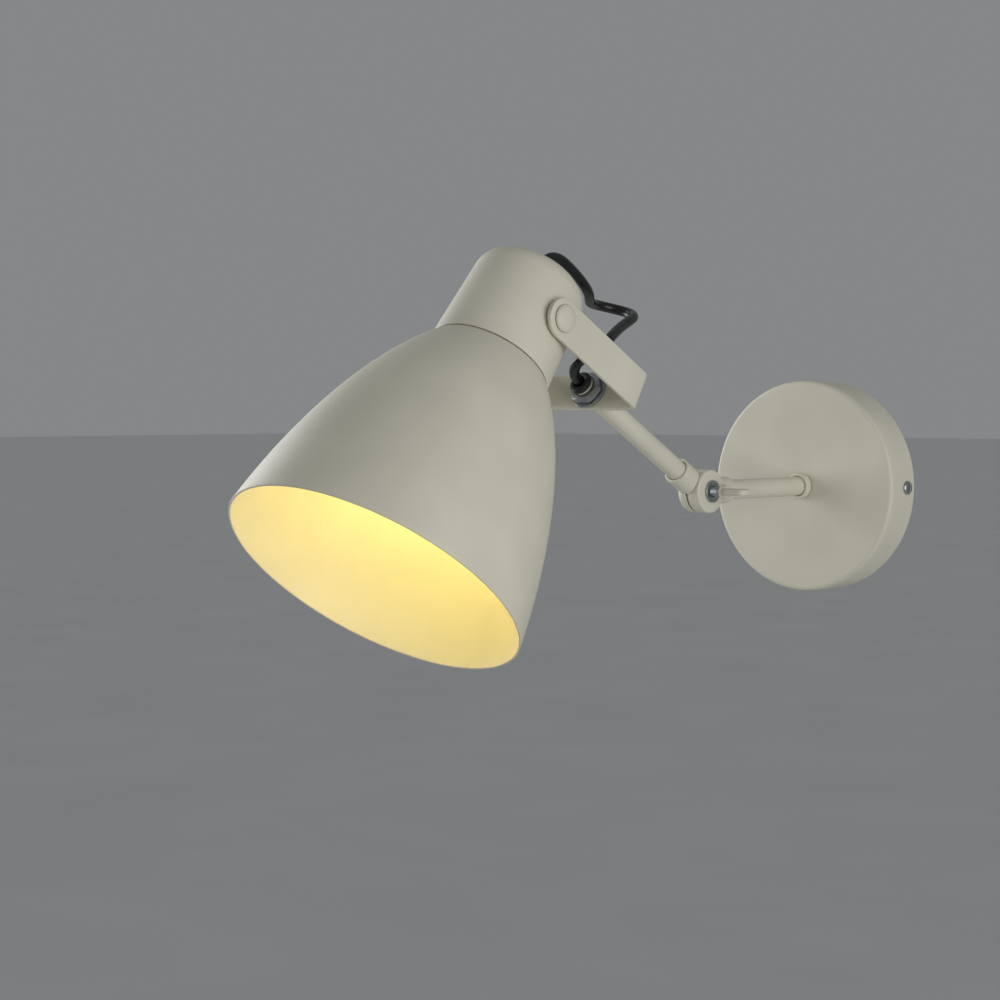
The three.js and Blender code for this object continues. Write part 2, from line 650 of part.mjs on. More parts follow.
function addBulb(group) {
  const { capRadius, capWall, capLength, capChamfer, globeRadius, glass, neckRadius, neckLength } = bulb;
  const contactTop = holderSkirt.start + holderCore.height + gap + contact.rise;
  const capFrom = contactTop + gap;
  const capTo = capFrom + capLength;
  const shell = [
    [0, capFrom],
    [capRadius - capChamfer, capFrom],
    [capRadius, capFrom + capChamfer],
    [capRadius, capTo],
    [capRadius - capWall, capTo],
    [capRadius - capWall, capFrom + capChamfer + capWall],
    [0, capFrom + capChamfer + capWall],
  ];
  add(group, "bulb_base", turned(shell), finishes.zinc);
  // The globe's neck starts just past the metal cap and grows into the sphere.
  const neckFrom = capTo + gap;
  const neckAngle = Math.asin(neckRadius / globeRadius);
  const centre = neckFrom + neckLength + globeRadius * Math.cos(neckAngle);
  const start = -90 + (neckAngle * 180) / Math.PI;
  const insideStart = -90 + (Math.asin((neckRadius - glass) / (globeRadius - glass)) * 180) / Math.PI;
  const globe = [
    [neckRadius, neckFrom],
    ...corner([0, centre], globeRadius, start, 90, 8),
    ...corner([0, centre], globeRadius - glass, 90, insideStart, 8),
    [neckRadius - glass, neckFrom],
  ];
  add(group, "bulb_globe", turned(globe), finishes.glass);
}

function addCordLoop(group) {
  const stemGrowth = stemLength - cordLoopDrawnFor.stemLength;
  const armGrowth = armLength - cordLoopDrawnFor.armLength;
  const legGrowth = yoke.legLength - cordLoopDrawnFor.legLength;
  const route = cordLoopRoute.map(([x, y, z], i) => {
    const headShare = 1 - i / (cordLoopRoute.length - 1);
    const alongArm = armGrowth + legGrowth * headShare;
    const outward = stemGrowth + alongArm * Math.cos(degrees(armRise));
    return [x, y - outward, z + alongArm * Math.sin(degrees(armRise))];
  });
  add(group, "cord_loop", cordAlong(route, 44), finishes.cord);
}

// ---------------------------------------------------------------- the whole lamp

const lamp = new THREE.Group();

addWallStrap(lamp);
addCanopy(lamp);
addCanopyScrew(lamp, "canopy_screw_right", 1);
addCanopyScrew(lamp, "canopy_screw_left", -1);
addTerminalBlock(lamp);
addEarthScrew(lamp);
addStem(lamp);
addKnuckleStemHalf(lamp);

const clamp = new THREE.Group();
clamp.position.y = -stemLength;
addClamp(clamp);
lamp.add(clamp);

const arm = new THREE.Group();
arm.position.y = -stemLength;
arm.rotation.x = -degrees(armRise);
addArm(arm);
addYoke(arm);
addBushing(arm);
lamp.add(arm);

const head = new THREE.Group();
head.position.y = -(armLength + yoke.legLength);
head.rotation.x = degrees(armRise + headDrop);
addPivotSide(head, "right", 1);
addPivotSide(head, "left", -1);
addCap(head);
addGland(head);
addLampholder(head);
addShade(head);
addBulb(head);
arm.add(head);

addCordLoop(lamp);

export default lamp;
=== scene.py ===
"""Finished pieces, stage and camera of a swing arm wall sconce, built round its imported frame.

Shapes are drawn in millimetres, in a piece's own place: its -Y axis points outward along the
piece, and "reach" is the distance that way. Each place is worked out from the frame's joints and
nodes, and settle() carries a finished shape from there into the frame's metres.
"""

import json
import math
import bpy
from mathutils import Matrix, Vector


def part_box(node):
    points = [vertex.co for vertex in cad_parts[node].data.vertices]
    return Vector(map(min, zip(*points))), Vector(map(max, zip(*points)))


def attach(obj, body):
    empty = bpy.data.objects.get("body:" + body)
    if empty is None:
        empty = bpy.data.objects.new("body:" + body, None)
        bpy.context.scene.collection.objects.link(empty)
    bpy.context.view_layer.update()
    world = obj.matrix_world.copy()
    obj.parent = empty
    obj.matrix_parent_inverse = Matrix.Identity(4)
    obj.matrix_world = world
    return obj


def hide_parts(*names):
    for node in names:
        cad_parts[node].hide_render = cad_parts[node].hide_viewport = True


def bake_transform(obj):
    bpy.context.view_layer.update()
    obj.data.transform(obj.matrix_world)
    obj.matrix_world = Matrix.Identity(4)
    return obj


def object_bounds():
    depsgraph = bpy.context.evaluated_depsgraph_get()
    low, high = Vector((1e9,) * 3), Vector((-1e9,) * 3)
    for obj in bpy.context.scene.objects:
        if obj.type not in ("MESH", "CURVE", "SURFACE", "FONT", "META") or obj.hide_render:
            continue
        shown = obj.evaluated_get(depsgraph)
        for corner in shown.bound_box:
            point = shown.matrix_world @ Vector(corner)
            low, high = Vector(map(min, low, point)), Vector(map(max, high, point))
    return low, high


bl_info = {
    "name": "Swing Arm Wall Sconce",
    "version": (1, 0, 0),
    "blender": (4, 5, 0),
    "location": "View3D > Sidebar > Sconce",
    "description": "Builds the finished pieces, stage and camera of a swing arm wall sconce",
    "category": "Add Mesh",
}

import bmesh
import bpy
from bpy.props import FloatProperty, FloatVectorProperty, PointerProperty
from mathutils import Matrix, Vector

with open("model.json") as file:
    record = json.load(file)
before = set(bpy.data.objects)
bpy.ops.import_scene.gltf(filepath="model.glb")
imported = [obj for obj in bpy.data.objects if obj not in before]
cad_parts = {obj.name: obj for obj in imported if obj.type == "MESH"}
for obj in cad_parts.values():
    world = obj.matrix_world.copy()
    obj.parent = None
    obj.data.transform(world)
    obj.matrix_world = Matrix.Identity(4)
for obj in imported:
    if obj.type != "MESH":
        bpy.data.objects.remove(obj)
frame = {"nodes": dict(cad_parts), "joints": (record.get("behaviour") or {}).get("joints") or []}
cad_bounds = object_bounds()

MM = 0.001  # metres in a millimetre
CLEARANCE = 0.3  # mm between a rod and its hole, as in the frame
SENSOR_WIDTH = 36  # mm

# The free cord's route from the gland on the cap to the bushing on the arm, in metres.
CORD_ROUTE = [
    (0, -0.2289, 0.1044),
    (0, -0.2259, 0.1072),
    (0, -0.222, 0.1089),
    (0, -0.2177, 0.109),
    (0, -0.2135, 0.1076),
    (0, -0.209, 0.105),
    (0, -0.2035, 0.1014),
    (-0.0005, -0.198, 0.0976),
    (-0.0025, -0.1925, 0.0944),
    (-0.006, -0.1875, 0.0922),
    (-0.01, -0.1826, 0.091),
    (-0.0134, -0.1772, 0.0904),
    (-0.0148, -0.1717, 0.0898),
    (-0.0134, -0.1667, 0.0889),
    (-0.0098, -0.163, 0.0877),
    (-0.0049, -0.1617, 0.0864),
    (0, -0.1631, 0.085),
    (0.0037, -0.1668, 0.0836),
    (0.006, -0.172, 0.082),
    (0.0076, -0.1776, 0.0802),
    (0.0092, -0.1832, 0.0782),
    (0.011, -0.1886, 0.0762),
    (0.0128, -0.1938, 0.074),
    (0.0142, -0.199, 0.0714),
    (0.0144, -0.204, 0.0684),
    (0.0124, -0.208, 0.0658),
    (0.0086, -0.2101, 0.0632),
    (0.0046, -0.21, 0.0603),
    (0.0015, -0.2075, 0.0572),
    (0.0001, -0.2042, 0.0544),
    (0, -0.2025, 0.0534),
]

# ------------------------------------------------------------------ places in the frame


def place_along(point, outward, level=(1, 0, 0)):
    """From a piece's own millimetres to the frame: -Y points outward and X lies along level."""
    own_y = -Vector(outward).normalized()
    own_x = Vector(level)
    own_z = own_x.cross(own_y)
    turn = Matrix((own_x, own_y, own_z)).transposed().to_4x4()
    return Matrix.Translation(point) @ turn @ Matrix.Scale(MM, 4)


def box_centre(node):
    low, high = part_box(node)
    return (low + high) / 2


joints = {joint["name"]: joint for joint in frame["joints"]}
knuckle_point = Vector(joints["knuckle_hinge"]["pos_m"])
yoke_point = Vector(joints["yoke_swivel"]["pos_m"])
pivot_point = Vector(joints["head_tilt"]["pos_m"])
arm_outward = Vector(joints["yoke_swivel"]["axis"])
head_outward = (pivot_point - box_centre("cap_nipple")).normalized()

WALL = place_along((0, 0, 0), (0, -1, 0))
KNUCKLE = place_along(knuckle_point, (0, -1, 0))
CLAMP = place_along(knuckle_point, (1, 0, 0), level=(0, 0, 1))
ARM = place_along(knuckle_point, arm_outward)
YOKE = place_along(yoke_point, arm_outward)
HEAD = place_along(pivot_point, head_outward)


def sideways(point, side):
    """A place whose outward axis is +X for side 1 and -X for side -1."""
    return place_along(point, (side, 0, 0), level=(0, 0, 1))


def turned_size(node, place):
    """A turned node's smallest and largest radius, and its nearest and farthest reach, in mm."""
    back = place.inverted()
    points = [back @ vertex.co for vertex in frame["nodes"][node].data.vertices]
    radii = [math.hypot(point.x, point.z) for point in points]
    return min(radii), max(radii), -max(p.y for p in points), -min(p.y for p in points)


# ------------------------------------------------------------------ sizes and colours


def linear(hex_colour):
    """An sRGB hex colour as linear red, green and blue."""
    channels = [int(hex_colour[i : i + 2], 16) / 255 for i in (1, 3, 5)]
    return tuple(c / 12.92 if c <= 0.04045 else ((c + 0.055) / 1.055) ** 2.4 for c in channels)


def length(name, description, millimetres):
    return FloatProperty(name=name, description=description, default=millimetres * MM, unit="LENGTH")


def colour(name, description, hex_colour):
    tone = linear(hex_colour)
    return FloatVectorProperty(name=name, description=description, default=tone, subtype="COLOR")


class SconceSizes(bpy.types.PropertyGroup):
    """Sizes that the frame's boxes don't give."""

    canopy_wall: length("Canopy wall", "Thickness of the canopy's steel", 1.2)
    canopy_edge: length("Canopy edge", "Outer radius of the canopy's rolled edge", 2.2)
    canopy_screw_radius: length("Canopy screw radius", "Radius of a canopy screw's shank", 2)
    terminal_spacing: length("Terminal spacing", "Between the terminal block's screws", 5)
    tube_radius: length("Tube radius", "Outer radius of the stem, the arm and the nipple", 5)
    tube_bore: length("Tube bore", "Inner radius of the stem and the arm", 4)
    nut_width: length("Nut width", "Across the flats of the nuts on the tubes", 14)
    cap_wall: length("Cap wall", "Thickness of the cap's steel", 1.2)
    cap_corner: length("Cap corner", "Radius of the round corner at the cap's back", 10)
    cap_back_radius: length("Cap back radius", "Radius of the cap where its wall meets the corner", 26.2)
    gland_nose: length("Gland nose", "Radius of the cord gland where its nose begins", 4.4)
    shade_wall: length("Shade wall", "Thickness of the spun shade", 1)
    shade_neck_radius: length("Shade neck radius", "Radius of the shade's shoulder at the cap", 27.8)
    shoulder_radius: length("Shoulder radius", "Radius of the bell curve's first control point", 48.2)
    shoulder_reach: length("Shoulder reach", "Distance of that point from the neck", 26.2)
    flank_radius: length("Flank radius", "Radius of the bell curve's second control point", 62.1)
    flank_reach: length("Flank reach", "Distance of that point from the mouth", 44.9)
    yoke_thickness: length("Yoke thickness", "Thickness of the yoke's strip", 2)
    yoke_bend: length("Yoke bend", "Outer radius of the yoke's two bends", 4)
    yoke_half_strip: length("Yoke half strip", "Half the width of the yoke's strip", 9)
    pivot_screw_radius: length("Pivot screw radius", "Radius of a pivot screw's shank", 3)
    far_round: length("Far rounding", "Rounding of the arm half of the knuckle", 5.6)
    near_round: length("Near rounding", "Rounding of the stem half of the knuckle", 1.2)
    socket_radius: length("Socket radius", "Radius of the knuckle's two sockets", 6.7)
    socket_depth: length("Socket depth", "How far a tube goes into its socket", 10)
    seam: length("Knuckle seam", "Half the gap between the knuckle's two drums", 0.7)
    wing_thickness: length("Wing thickness", "Thickness of the wing screw's paddle", 3.2)
    holder_radius: length("Holder radius", "Outer radius of the lampholder's skirt", 19.6)
    bulb_neck: length("Bulb neck", "Radius of the bulb's globe where it meets its cap", 11.5)
    bulb_glass: length("Bulb glass", "Thickness of the bulb's glass", 1.4)
    cord_diameter: length("Cord diameter", "Outer diameter of the cord", 4.8)
    thread_depth: length("Thread depth", "Depth of a screw's thread", 0.25)


class SconceColours(bpy.types.PropertyGroup):
    """Colours of the finishes."""

    paint: colour("Paint", "Powder coat on the metalwork", "#DAD6C4")
    lining: colour("Lining", "Enamel inside the shade", "#F3E9CC")
    zinc: colour("Zinc", "Zinc plate on nuts, washers and the strap", "#B4B7BB")
    brass: colour("Brass", "Earth screw and contact", "#C9A24E")
    nylon: colour("Nylon", "Bushing, gland and spacers", "#19191A")
    sheath: colour("Sheath", "Cord", "#0D0D0E")
    holder: colour("Holder", "Moulded lampholder and terminal block", "#E9E6DD")
    glaze: colour("Glaze", "Ceramic core of the lampholder", "#F1EDE3")
    lamplight: colour("Lamplight", "Light of the bulb", "#FFF5A7")
    floor: colour("Floor", "Plain floor", "#EAEBEB")
    surroundings: colour("Surroundings", "Plain surroundings", "#E9ECEE")


class SconceStage(bpy.types.PropertyGroup):
    """Light and camera."""

    bulb_strength: FloatProperty(
        name="Bulb strength", description="Emission of the bulb's globe", default=5.6
    )
    key_power: FloatProperty(
        name="Key power", description="Large soft light on the right", default=4.5, unit="POWER"
    )
    fill_power: FloatProperty(
        name="Fill power", description="Large soft light on the left", default=7.5, unit="POWER"
    )
    sky: FloatProperty(
        name="Sky", description="Brightness of the plain surroundings", default=0.29
    )
    camera_azimuth: FloatProperty(
        name="Camera azimuth",
        description="Angle round the lamp",
        default=math.radians(42.31),
        subtype="ANGLE",
    )
    camera_elevation: FloatProperty(
        name="Camera elevation",
        description="Angle above level",
        default=math.radians(2.62),
        subtype="ANGLE",
    )
    camera_distance: FloatProperty(
        name="Camera distance",
        description="From the camera to the point it is aimed at",
        default=1,
        unit="LENGTH",
    )
    focal_length: FloatProperty(
        name="Focal length",
        description="In millimetres, on a sensor 36 mm wide",
        default=75.16,
        subtype="DISTANCE_CAMERA",
    )
    floor_drop: FloatProperty(
        name="Floor drop",
        description="From the lamp's lowest point to the floor",
        default=1,
        unit="LENGTH",
    )


def sizes_in_mm():
    """Every size of the property group, in millimetres, by name."""
    group = bpy.context.scene.sconce_sizes
    return {name: getattr(group, name) / MM for name in SconceSizes.__annotations__}


# ------------------------------------------------------------------ materials


def add_node(tree, kind, inputs=None, **settings):
    """Adds a shader node, sets it, and fills its inputs with values or links."""
    node = tree.nodes.new(kind)
    for name, value in settings.items():
        setattr(node, name, value)
    for socket, value in (inputs or {}).items():
        if isinstance(value, bpy.types.NodeSocket):
            tree.links.new(value, node.inputs[socket])
        else:
            node.inputs[socket].default_value = value
    return node


def shader(name, base, **inputs):
    """A new material with its principled shader's own values set, its tree and its coordinates."""
    material = bpy.data.materials.new(name)
    material.use_nodes = True
    tree = material.node_tree
    principled = tree.nodes["Principled BSDF"]
    principled.inputs["Base Color"].default_value = (*base, 1)
    for socket, value in inputs.items():
        principled.inputs[socket.replace("_", " ")].default_value = value
    where = add_node(tree, "ShaderNodeTexCoord").outputs["Object"]
    return material, tree, principled, where


def grains(tree, where, millimetres, detail=2):
    """Noise whose grains are about this wide."""
    inputs = {"Vector": where, "Scale": 1 / (millimetres * MM), "Detail": detail}
    return add_node(tree, "ShaderNodeTexNoise", inputs).outputs["Fac"]


def spread(tree, value, low, high):
    """A pattern's 0 to 1 turned to low to high."""
    inputs = {"Value": value, "From Min": 0.3, "From Max": 0.7, "To Min": low, "To Max": high}
    return add_node(tree, "ShaderNodeMapRange", inputs).outputs["Result"]


def tint(tree, pattern, base, darker):
    """The base colour mottled between itself and a darker share of it."""
    dark = tuple(c * darker for c in base)
    mix = add_node(tree, "ShaderNodeMix", {"Factor": pattern}, data_type="RGBA")
    mix.inputs["A"].default_value = (*dark, 1)
    mix.inputs["B"].default_value = (*base, 1)
    return mix.outputs["Result"]


def bump(tree, principled, height, millimetres, strength=1.0):
    """Raises the surface by a pattern, millimetres high at its full range."""
    inputs = {"Height": height, "Distance": millimetres * MM, "Strength": strength}
    normal = add_node(tree, "ShaderNodeBump", inputs).outputs["Normal"]
    tree.links.new(normal, principled.inputs["Normal"])


def powder_coat(base):
    """Polyester powder coat, baked: a dry satin skin with a faint orange peel and slow colour drift."""
    material, tree, principled, where = shader("powder coat", base, Roughness=0.5, IOR=1.5)
    drift = spread(tree, grains(tree, where, 28, 1), 0, 1)
    tree.links.new(tint(tree, drift, base, 0.93), principled.inputs["Base Color"])
    # The peel of a real coat is 1 to 2 mm across, and its bumps are a few microns high.
    peel = grains(tree, where, 1.6, 3)
    tree.links.new(spread(tree, peel, 0.44, 0.56), principled.inputs["Roughness"])
    bump(tree, principled, peel, 0.035, 0.5)
    return material


def lining_enamel(base):
    """Sprayed enamel inside the shade: smooth and pale, and softly glossy, so that it spreads the light."""
    material, tree, principled, where = shader("lining enamel", base, Roughness=0.42, IOR=1.5)
    # Spinning leaves faint rings that show under the enamel as slow bands of gloss.
    bands = spread(tree, grains(tree, where, 18, 2), 0, 1)
    tree.links.new(tint(tree, bands, base, 0.96), principled.inputs["Base Color"])
    peel = grains(tree, where, 1.4, 2)
    tree.links.new(spread(tree, peel, 0.36, 0.48), principled.inputs["Roughness"])
    bump(tree, principled, peel, 0.02, 0.4)
    return material


def zinc_plate(base):
    """Bright zinc on steel: a grey shine broken by rolling scratches and small stains."""
    material, tree, principled, where = shader("zinc plate", base, Metallic=1.0, Roughness=0.34)
    stains = grains(tree, where, 3, 4)
    tree.links.new(tint(tree, spread(tree, stains, 0, 1), base, 0.78), principled.inputs["Base Color"])
    tree.links.new(spread(tree, stains, 0.26, 0.46), principled.inputs["Roughness"])
    stretch = add_node(tree, "ShaderNodeMapping", {"Vector": where, "Scale": (1, 8, 8)})
    bump(tree, principled, grains(tree, stretch.outputs["Vector"], 1.2), 0.02, 0.4)
    return material


def galvanised_strip(base):
    """Hot dip galvanised strip: spangles of zinc crystal about 4 mm across."""
    material, tree, principled, where = shader("galvanised strip", base, Metallic=1.0, Roughness=0.4)
    cells = add_node(tree, "ShaderNodeTexVoronoi", {"Vector": where, "Scale": 1 / (4 * MM)})
    spangle = cells.outputs["Color"]
    share = add_node(tree, "ShaderNodeSeparateColor", {"Color": spangle}).outputs["Red"]
    tree.links.new(tint(tree, share, base, 0.7), principled.inputs["Base Color"])
    tree.links.new(spread(tree, share, 0.3, 0.52), principled.inputs["Roughness"])
    bump(tree, principled, grains(tree, where, 0.6), 0.01, 0.5)
    return material


def turned_brass(base):
    """Turned brass: a yellow shine, a little dulled."""
    material, tree, principled, where = shader("turned brass", base, Metallic=1.0, Roughness=0.3)
    dulling = grains(tree, where, 1.5, 3)
    tree.links.new(tint(tree, spread(tree, dulling, 0, 1), base, 0.75), principled.inputs["Base Color"])
    tree.links.new(spread(tree, dulling, 0.22, 0.42), principled.inputs["Roughness"])
    return material


def moulded_nylon(base):
    """Black nylon, spark eroded mould: a fine dry grain."""
    material, tree, principled, where = shader("moulded nylon", base, Roughness=0.5, IOR=1.53)
    grain = grains(tree, where, 0.5, 2)
    tree.links.new(tint(tree, spread(tree, grain, 0, 1), base, 0.7), principled.inputs["Base Color"])
    tree.links.new(spread(tree, grain, 0.42, 0.6), principled.inputs["Roughness"])
    bump(tree, principled, grain, 0.03, 0.6)
    return material


def pvc_sheath(base):
    """Flexible PVC sheath: black with a soft oily shine, and faint waves where the cores lie under it."""
    material, tree, principled, where = shader("pvc sheath", base, Roughness=0.32, IOR=1.54)
    handling = grains(tree, where, 6, 3)
    tree.links.new(tint(tree, spread(tree, handling, 0, 1), base, 0.6), principled.inputs["Base Color"])
    tree.links.new(spread(tree, handling, 0.26, 0.42), principled.inputs["Roughness"])
    bump(tree, principled, grains(tree, where, 1.8, 2), 0.06, 0.6)
    return material


def moulded_polyester(base):
    """Glossy moulded polyester of a lampholder: smooth, slightly translucent ivory white."""
    material, tree, principled, where = shader("moulded polyester", base, Roughness=0.3, IOR=1.57)
    flow = grains(tree, where, 9, 2)
    tree.links.new(tint(tree, spread(tree, flow, 0, 1), base, 0.93), principled.inputs["Base Color"])
    tree.links.new(spread(tree, flow, 0.25, 0.38), principled.inputs["Roughness"])
    bump(tree, principled, grains(tree, where, 0.8), 0.01, 0.4)
    return material


def glazed_ceramic(base):
    """Steatite with a thin glaze: white, hard and wet looking, with pinholes."""
    material, tree, principled, where = shader("glazed ceramic", base, Roughness=0.18, IOR=1.56)
    pinholes = grains(tree, where, 0.7, 3)
    tree.links.new(tint(tree, spread(tree, pinholes, 0, 1), base, 0.9), principled.inputs["Base Color"])
    bump(tree, principled, pinholes, 0.03, 0.5)
    return material


def opal_glass(base, light, strength):
    """Opal glass of a lit bulb: its whole globe glows evenly, with a warm tone."""
    material, tree, principled, where = shader("opal glass", base, Roughness=0.25, IOR=1.52)
    principled.inputs["Emission Color"].default_value = (*light, 1)
    principled.inputs["Emission Strength"].default_value = strength
    cloud = grains(tree, where, 12, 1)
    tree.links.new(tint(tree, spread(tree, cloud, 0, 1), base, 0.95), principled.inputs["Base Color"])
    return material


def matt_floor(base):
    """Matt painted floor: even and pale, with a slow drift so that it isn't one flat colour."""
    material, tree, principled, where = shader("matt floor", base, Roughness=0.85)
    drift = spread(tree, grains(tree, where, 400, 3), 0, 1)
    tree.links.new(tint(tree, drift, base, 0.96), principled.inputs["Base Color"])
    return material


finishes = {}


def make_finishes(scene):
    """Makes every material once, under the frame's slot names and a few of its own."""
    tones = scene.sconce_colours
    finishes["paint"] = powder_coat(tuple(tones.paint))
    finishes["lining"] = lining_enamel(tuple(tones.lining))
    finishes["zinc"] = zinc_plate(tuple(tones.zinc))
    finishes["strip"] = galvanised_strip(tuple(tones.zinc))
    finishes["brass"] = turned_brass(tuple(tones.brass))
    finishes["black_plastic"] = moulded_nylon(tuple(tones.nylon))
    finishes["cord"] = pvc_sheath(tuple(tones.sheath))
    finishes["white_plastic"] = moulded_polyester(tuple(tones.holder))
    finishes["ceramic"] = glazed_ceramic(tuple(tones.glaze))
    strength = scene.sconce_stage.bulb_strength
    finishes["glass"] = opal_glass(tuple(tones.glaze), tuple(tones.lamplight), strength)
    finishes["floor"] = matt_floor(tuple(tones.floor))


# ------------------------------------------------------------------ shapes


def arc(centre, radius, start, end, steps=10):
    """Points of an arc between two angles, in degrees."""
    points = []
    for step in range(steps + 1):
        angle = math.radians(start + (end - start) * step / steps)
        points.append((centre[0] + radius * math.cos(angle), centre[1] + radius * math.sin(angle)))
    return points


def rounded(outline, radius, steps=3):
    """A closed outline with its sharp corners rounded, as far as its short sides allow."""
    points = []
    for i, here in enumerate(outline):
        corner = Vector(here)
        before = Vector(outline[i - 1]) - corner
        after = Vector(outline[(i + 1) % len(outline)]) - corner
        if min(before.length, after.length) < 1e-6:
            continue
        turn = math.pi - before.angle(after)
        if turn < math.radians(25) or here[0] < 1e-6:
            points.append(tuple(corner))
            continue
        reach = min(radius * math.tan(turn / 2), 0.45 * before.length, 0.45 * after.length)
        first = corner + before.normalized() * reach
        last = corner + after.normalized() * reach
        for step in range(steps + 1):
            share = step / steps
            on_first = first.lerp(corner, share)
            points.append(tuple(on_first.lerp(corner.lerp(last, share), share)))
    return points


def thread(radius, start, end, pitch, depth):
    """Ridges of a thread as outline points from start to end."""
    points = []
    turns = max(1, round((end - start) / pitch))
    for turn in range(turns):
        low = start + (end - start) * turn / turns
        step = (end - start) / turns
        points += [(radius - depth, low + 0.1 * step), (radius, low + 0.4 * step)]
        points += [(radius, low + 0.6 * step), (radius - depth, low + 0.9 * step)]
    return points


def new_shape(mesh_maker):
    """An object from a bmesh, in the scene."""
    bmesh.ops.recalc_face_normals(mesh_maker, faces=mesh_maker.faces)
    mesh = bpy.data.meshes.new("shape")
    mesh_maker.to_mesh(mesh)
    mesh_maker.free()
    shape = bpy.data.objects.new("shape", mesh)
    bpy.context.scene.collection.objects.link(shape)
    return shape


def turned(outline, sides=96, across=False, ribs=0, rib_depth=0.0):
    """A closed outline of (radius, reach) points turned about the outward axis, or about X.

    With ribs, the outer points stand in and out that many times round.
    """
    maker = bmesh.new()
    widest = max(radius for radius, _ in outline)
    rings = []
    for radius, reach in outline:
        count = 1 if radius < 1e-6 else sides
        ring = []
        for side in range(count):
            angle = 2 * math.pi * side / sides
            wave = rib_depth * math.cos(ribs * angle) if radius > 0.9 * widest else 0
            x, z = (radius + wave) * math.cos(angle), (radius + wave) * math.sin(angle)
            ring.append(maker.verts.new((reach, x, z) if across else (x, -reach, z)))
        rings.append(ring)
    for ring, following in zip(rings, rings[1:] + rings[:1]):
        if len(ring) == 1 and len(following) == 1:
            continue
        for side in range(sides):
            after = (side + 1) % sides
            corners = [ring[side % len(ring)], ring[after % len(ring)]]
            corners += [following[after % len(following)], following[side % len(following)]]
            maker.faces.new(list(dict.fromkeys(corners)))
    return new_shape(maker)


def rod(radius, start, end, sides=64, across=False):
    return turned([(0, start), (radius, start), (radius, end), (0, end)], sides, across)


def ring_outline(hole, radius, start, end):
    return [(hole, start), (radius, start), (radius, end), (hole, end)]


def prism(outline, low, high):
    """A flat outline of (x, y) points raised from z = low to z = high."""
    maker = bmesh.new()
    bottom = [maker.verts.new((x, y, low)) for x, y in outline]
    top = [maker.verts.new((x, y, high)) for x, y in outline]
    maker.faces.new(bottom)
    maker.faces.new(top)
    for i in range(len(outline)):
        j = (i + 1) % len(outline)
        maker.faces.new((bottom[i], bottom[j], top[j], top[i]))
    return new_shape(maker)


def rounded_rectangle(width, height, radius, steps=8):
    x, y = width / 2 - radius, height / 2 - radius
    points = []
    for centre, start in (((x, y), 0), ((-x, y), 90), ((-x, -y), 180), ((x, -y), 270)):
        points += arc(centre, radius, start, start + 90, steps)
    return points


def apply_modifiers(shape):
    """Makes the result of a shape's modifiers its own mesh."""
    depsgraph = bpy.context.evaluated_depsgraph_get()
    result = bpy.data.meshes.new_from_object(shape.evaluated_get(depsgraph))
    shape.modifiers.clear()
    shape.data = result
    return shape


def combine(shape, other, operation):
    """Joins, cuts or intersects a shape with another, which is used up."""
    modifier = shape.modifiers.new("combine", "BOOLEAN")
    modifier.operation = operation
    modifier.solver = "MANIFOLD"
    modifier.object = other
    apply_modifiers(shape)
    bpy.data.objects.remove(other)
    return shape


def add_bevel(shape, width, segments, angle):
    """Breaks the edges that are sharper than an angle in degrees, width in the shape's own units."""
    modifier = shape.modifiers.new("edges", "BEVEL")
    modifier.width = width
    modifier.segments = segments
    modifier.limit_method = "ANGLE"
    modifier.angle_limit = math.radians(angle)


def bevelled(shape, width, segments=3, angle=35):
    add_bevel(shape, width, segments, angle)
    return apply_modifiers(shape)


def cast(shape, grain, passes):
    """The soft edges and filled corners of a die casting under paint: remeshed at grain and smoothed."""
    remesh = shape.modifiers.new("remesh", "REMESH")
    remesh.mode = "VOXEL"
    remesh.voxel_size = grain
    smooth = shape.modifiers.new("smooth", "SMOOTH")
    smooth.factor = 0.5
    smooth.iterations = passes
    return apply_modifiers(shape)


def hex_nut(across_flats, hole, start, end):
    """A hexagon nut with its corners turned off at both faces."""
    corner = across_flats / math.sqrt(3)
    hexagon = arc((0, 0), corner, 0, 300, 5)
    nut = prism(hexagon, start, end)
    nut.data.transform(Matrix.Rotation(math.radians(90), 4, "X"))
    flat = across_flats / 2
    slope = (corner - flat) * 0.6
    blank = [(0, start), (flat, start), (corner + 0.1, start + slope), (corner + 0.1, end - slope)]
    blank += [(flat, end), (0, end)]
    combine(nut, turned(blank, 72), "INTERSECT")
    combine(nut, rod(hole, start - 1, end + 1, 48), "DIFFERENCE")
    return bevelled(nut, 0.15, 2)


def tube_along(points, radius, sides=24):
    """A closed round tube along points in metres."""
    maker = bmesh.new()
    points = [Vector(point) for point in points]
    rings = []
    normal = Vector((1, 0, 0))
    for i, point in enumerate(points):
        tangent = (points[min(i + 1, len(points) - 1)] - points[max(i - 1, 0)]).normalized()
        normal = (normal - tangent * normal.dot(tangent)).normalized()
        other = tangent.cross(normal)
        ring = []
        for side in range(sides):
            angle = 2 * math.pi * side / sides
            outward = normal * math.cos(angle) + other * math.sin(angle)
            ring.append(maker.verts.new(point + outward * radius))
        rings.append(ring)
    for ring, following in zip(rings, rings[1:]):
        for side in range(sides):
            after = (side + 1) % sides
            maker.faces.new((ring[side], ring[after], following[after], following[side]))
    maker.faces.new(rings[0])
    maker.faces.new(rings[-1])
    return new_shape(maker)


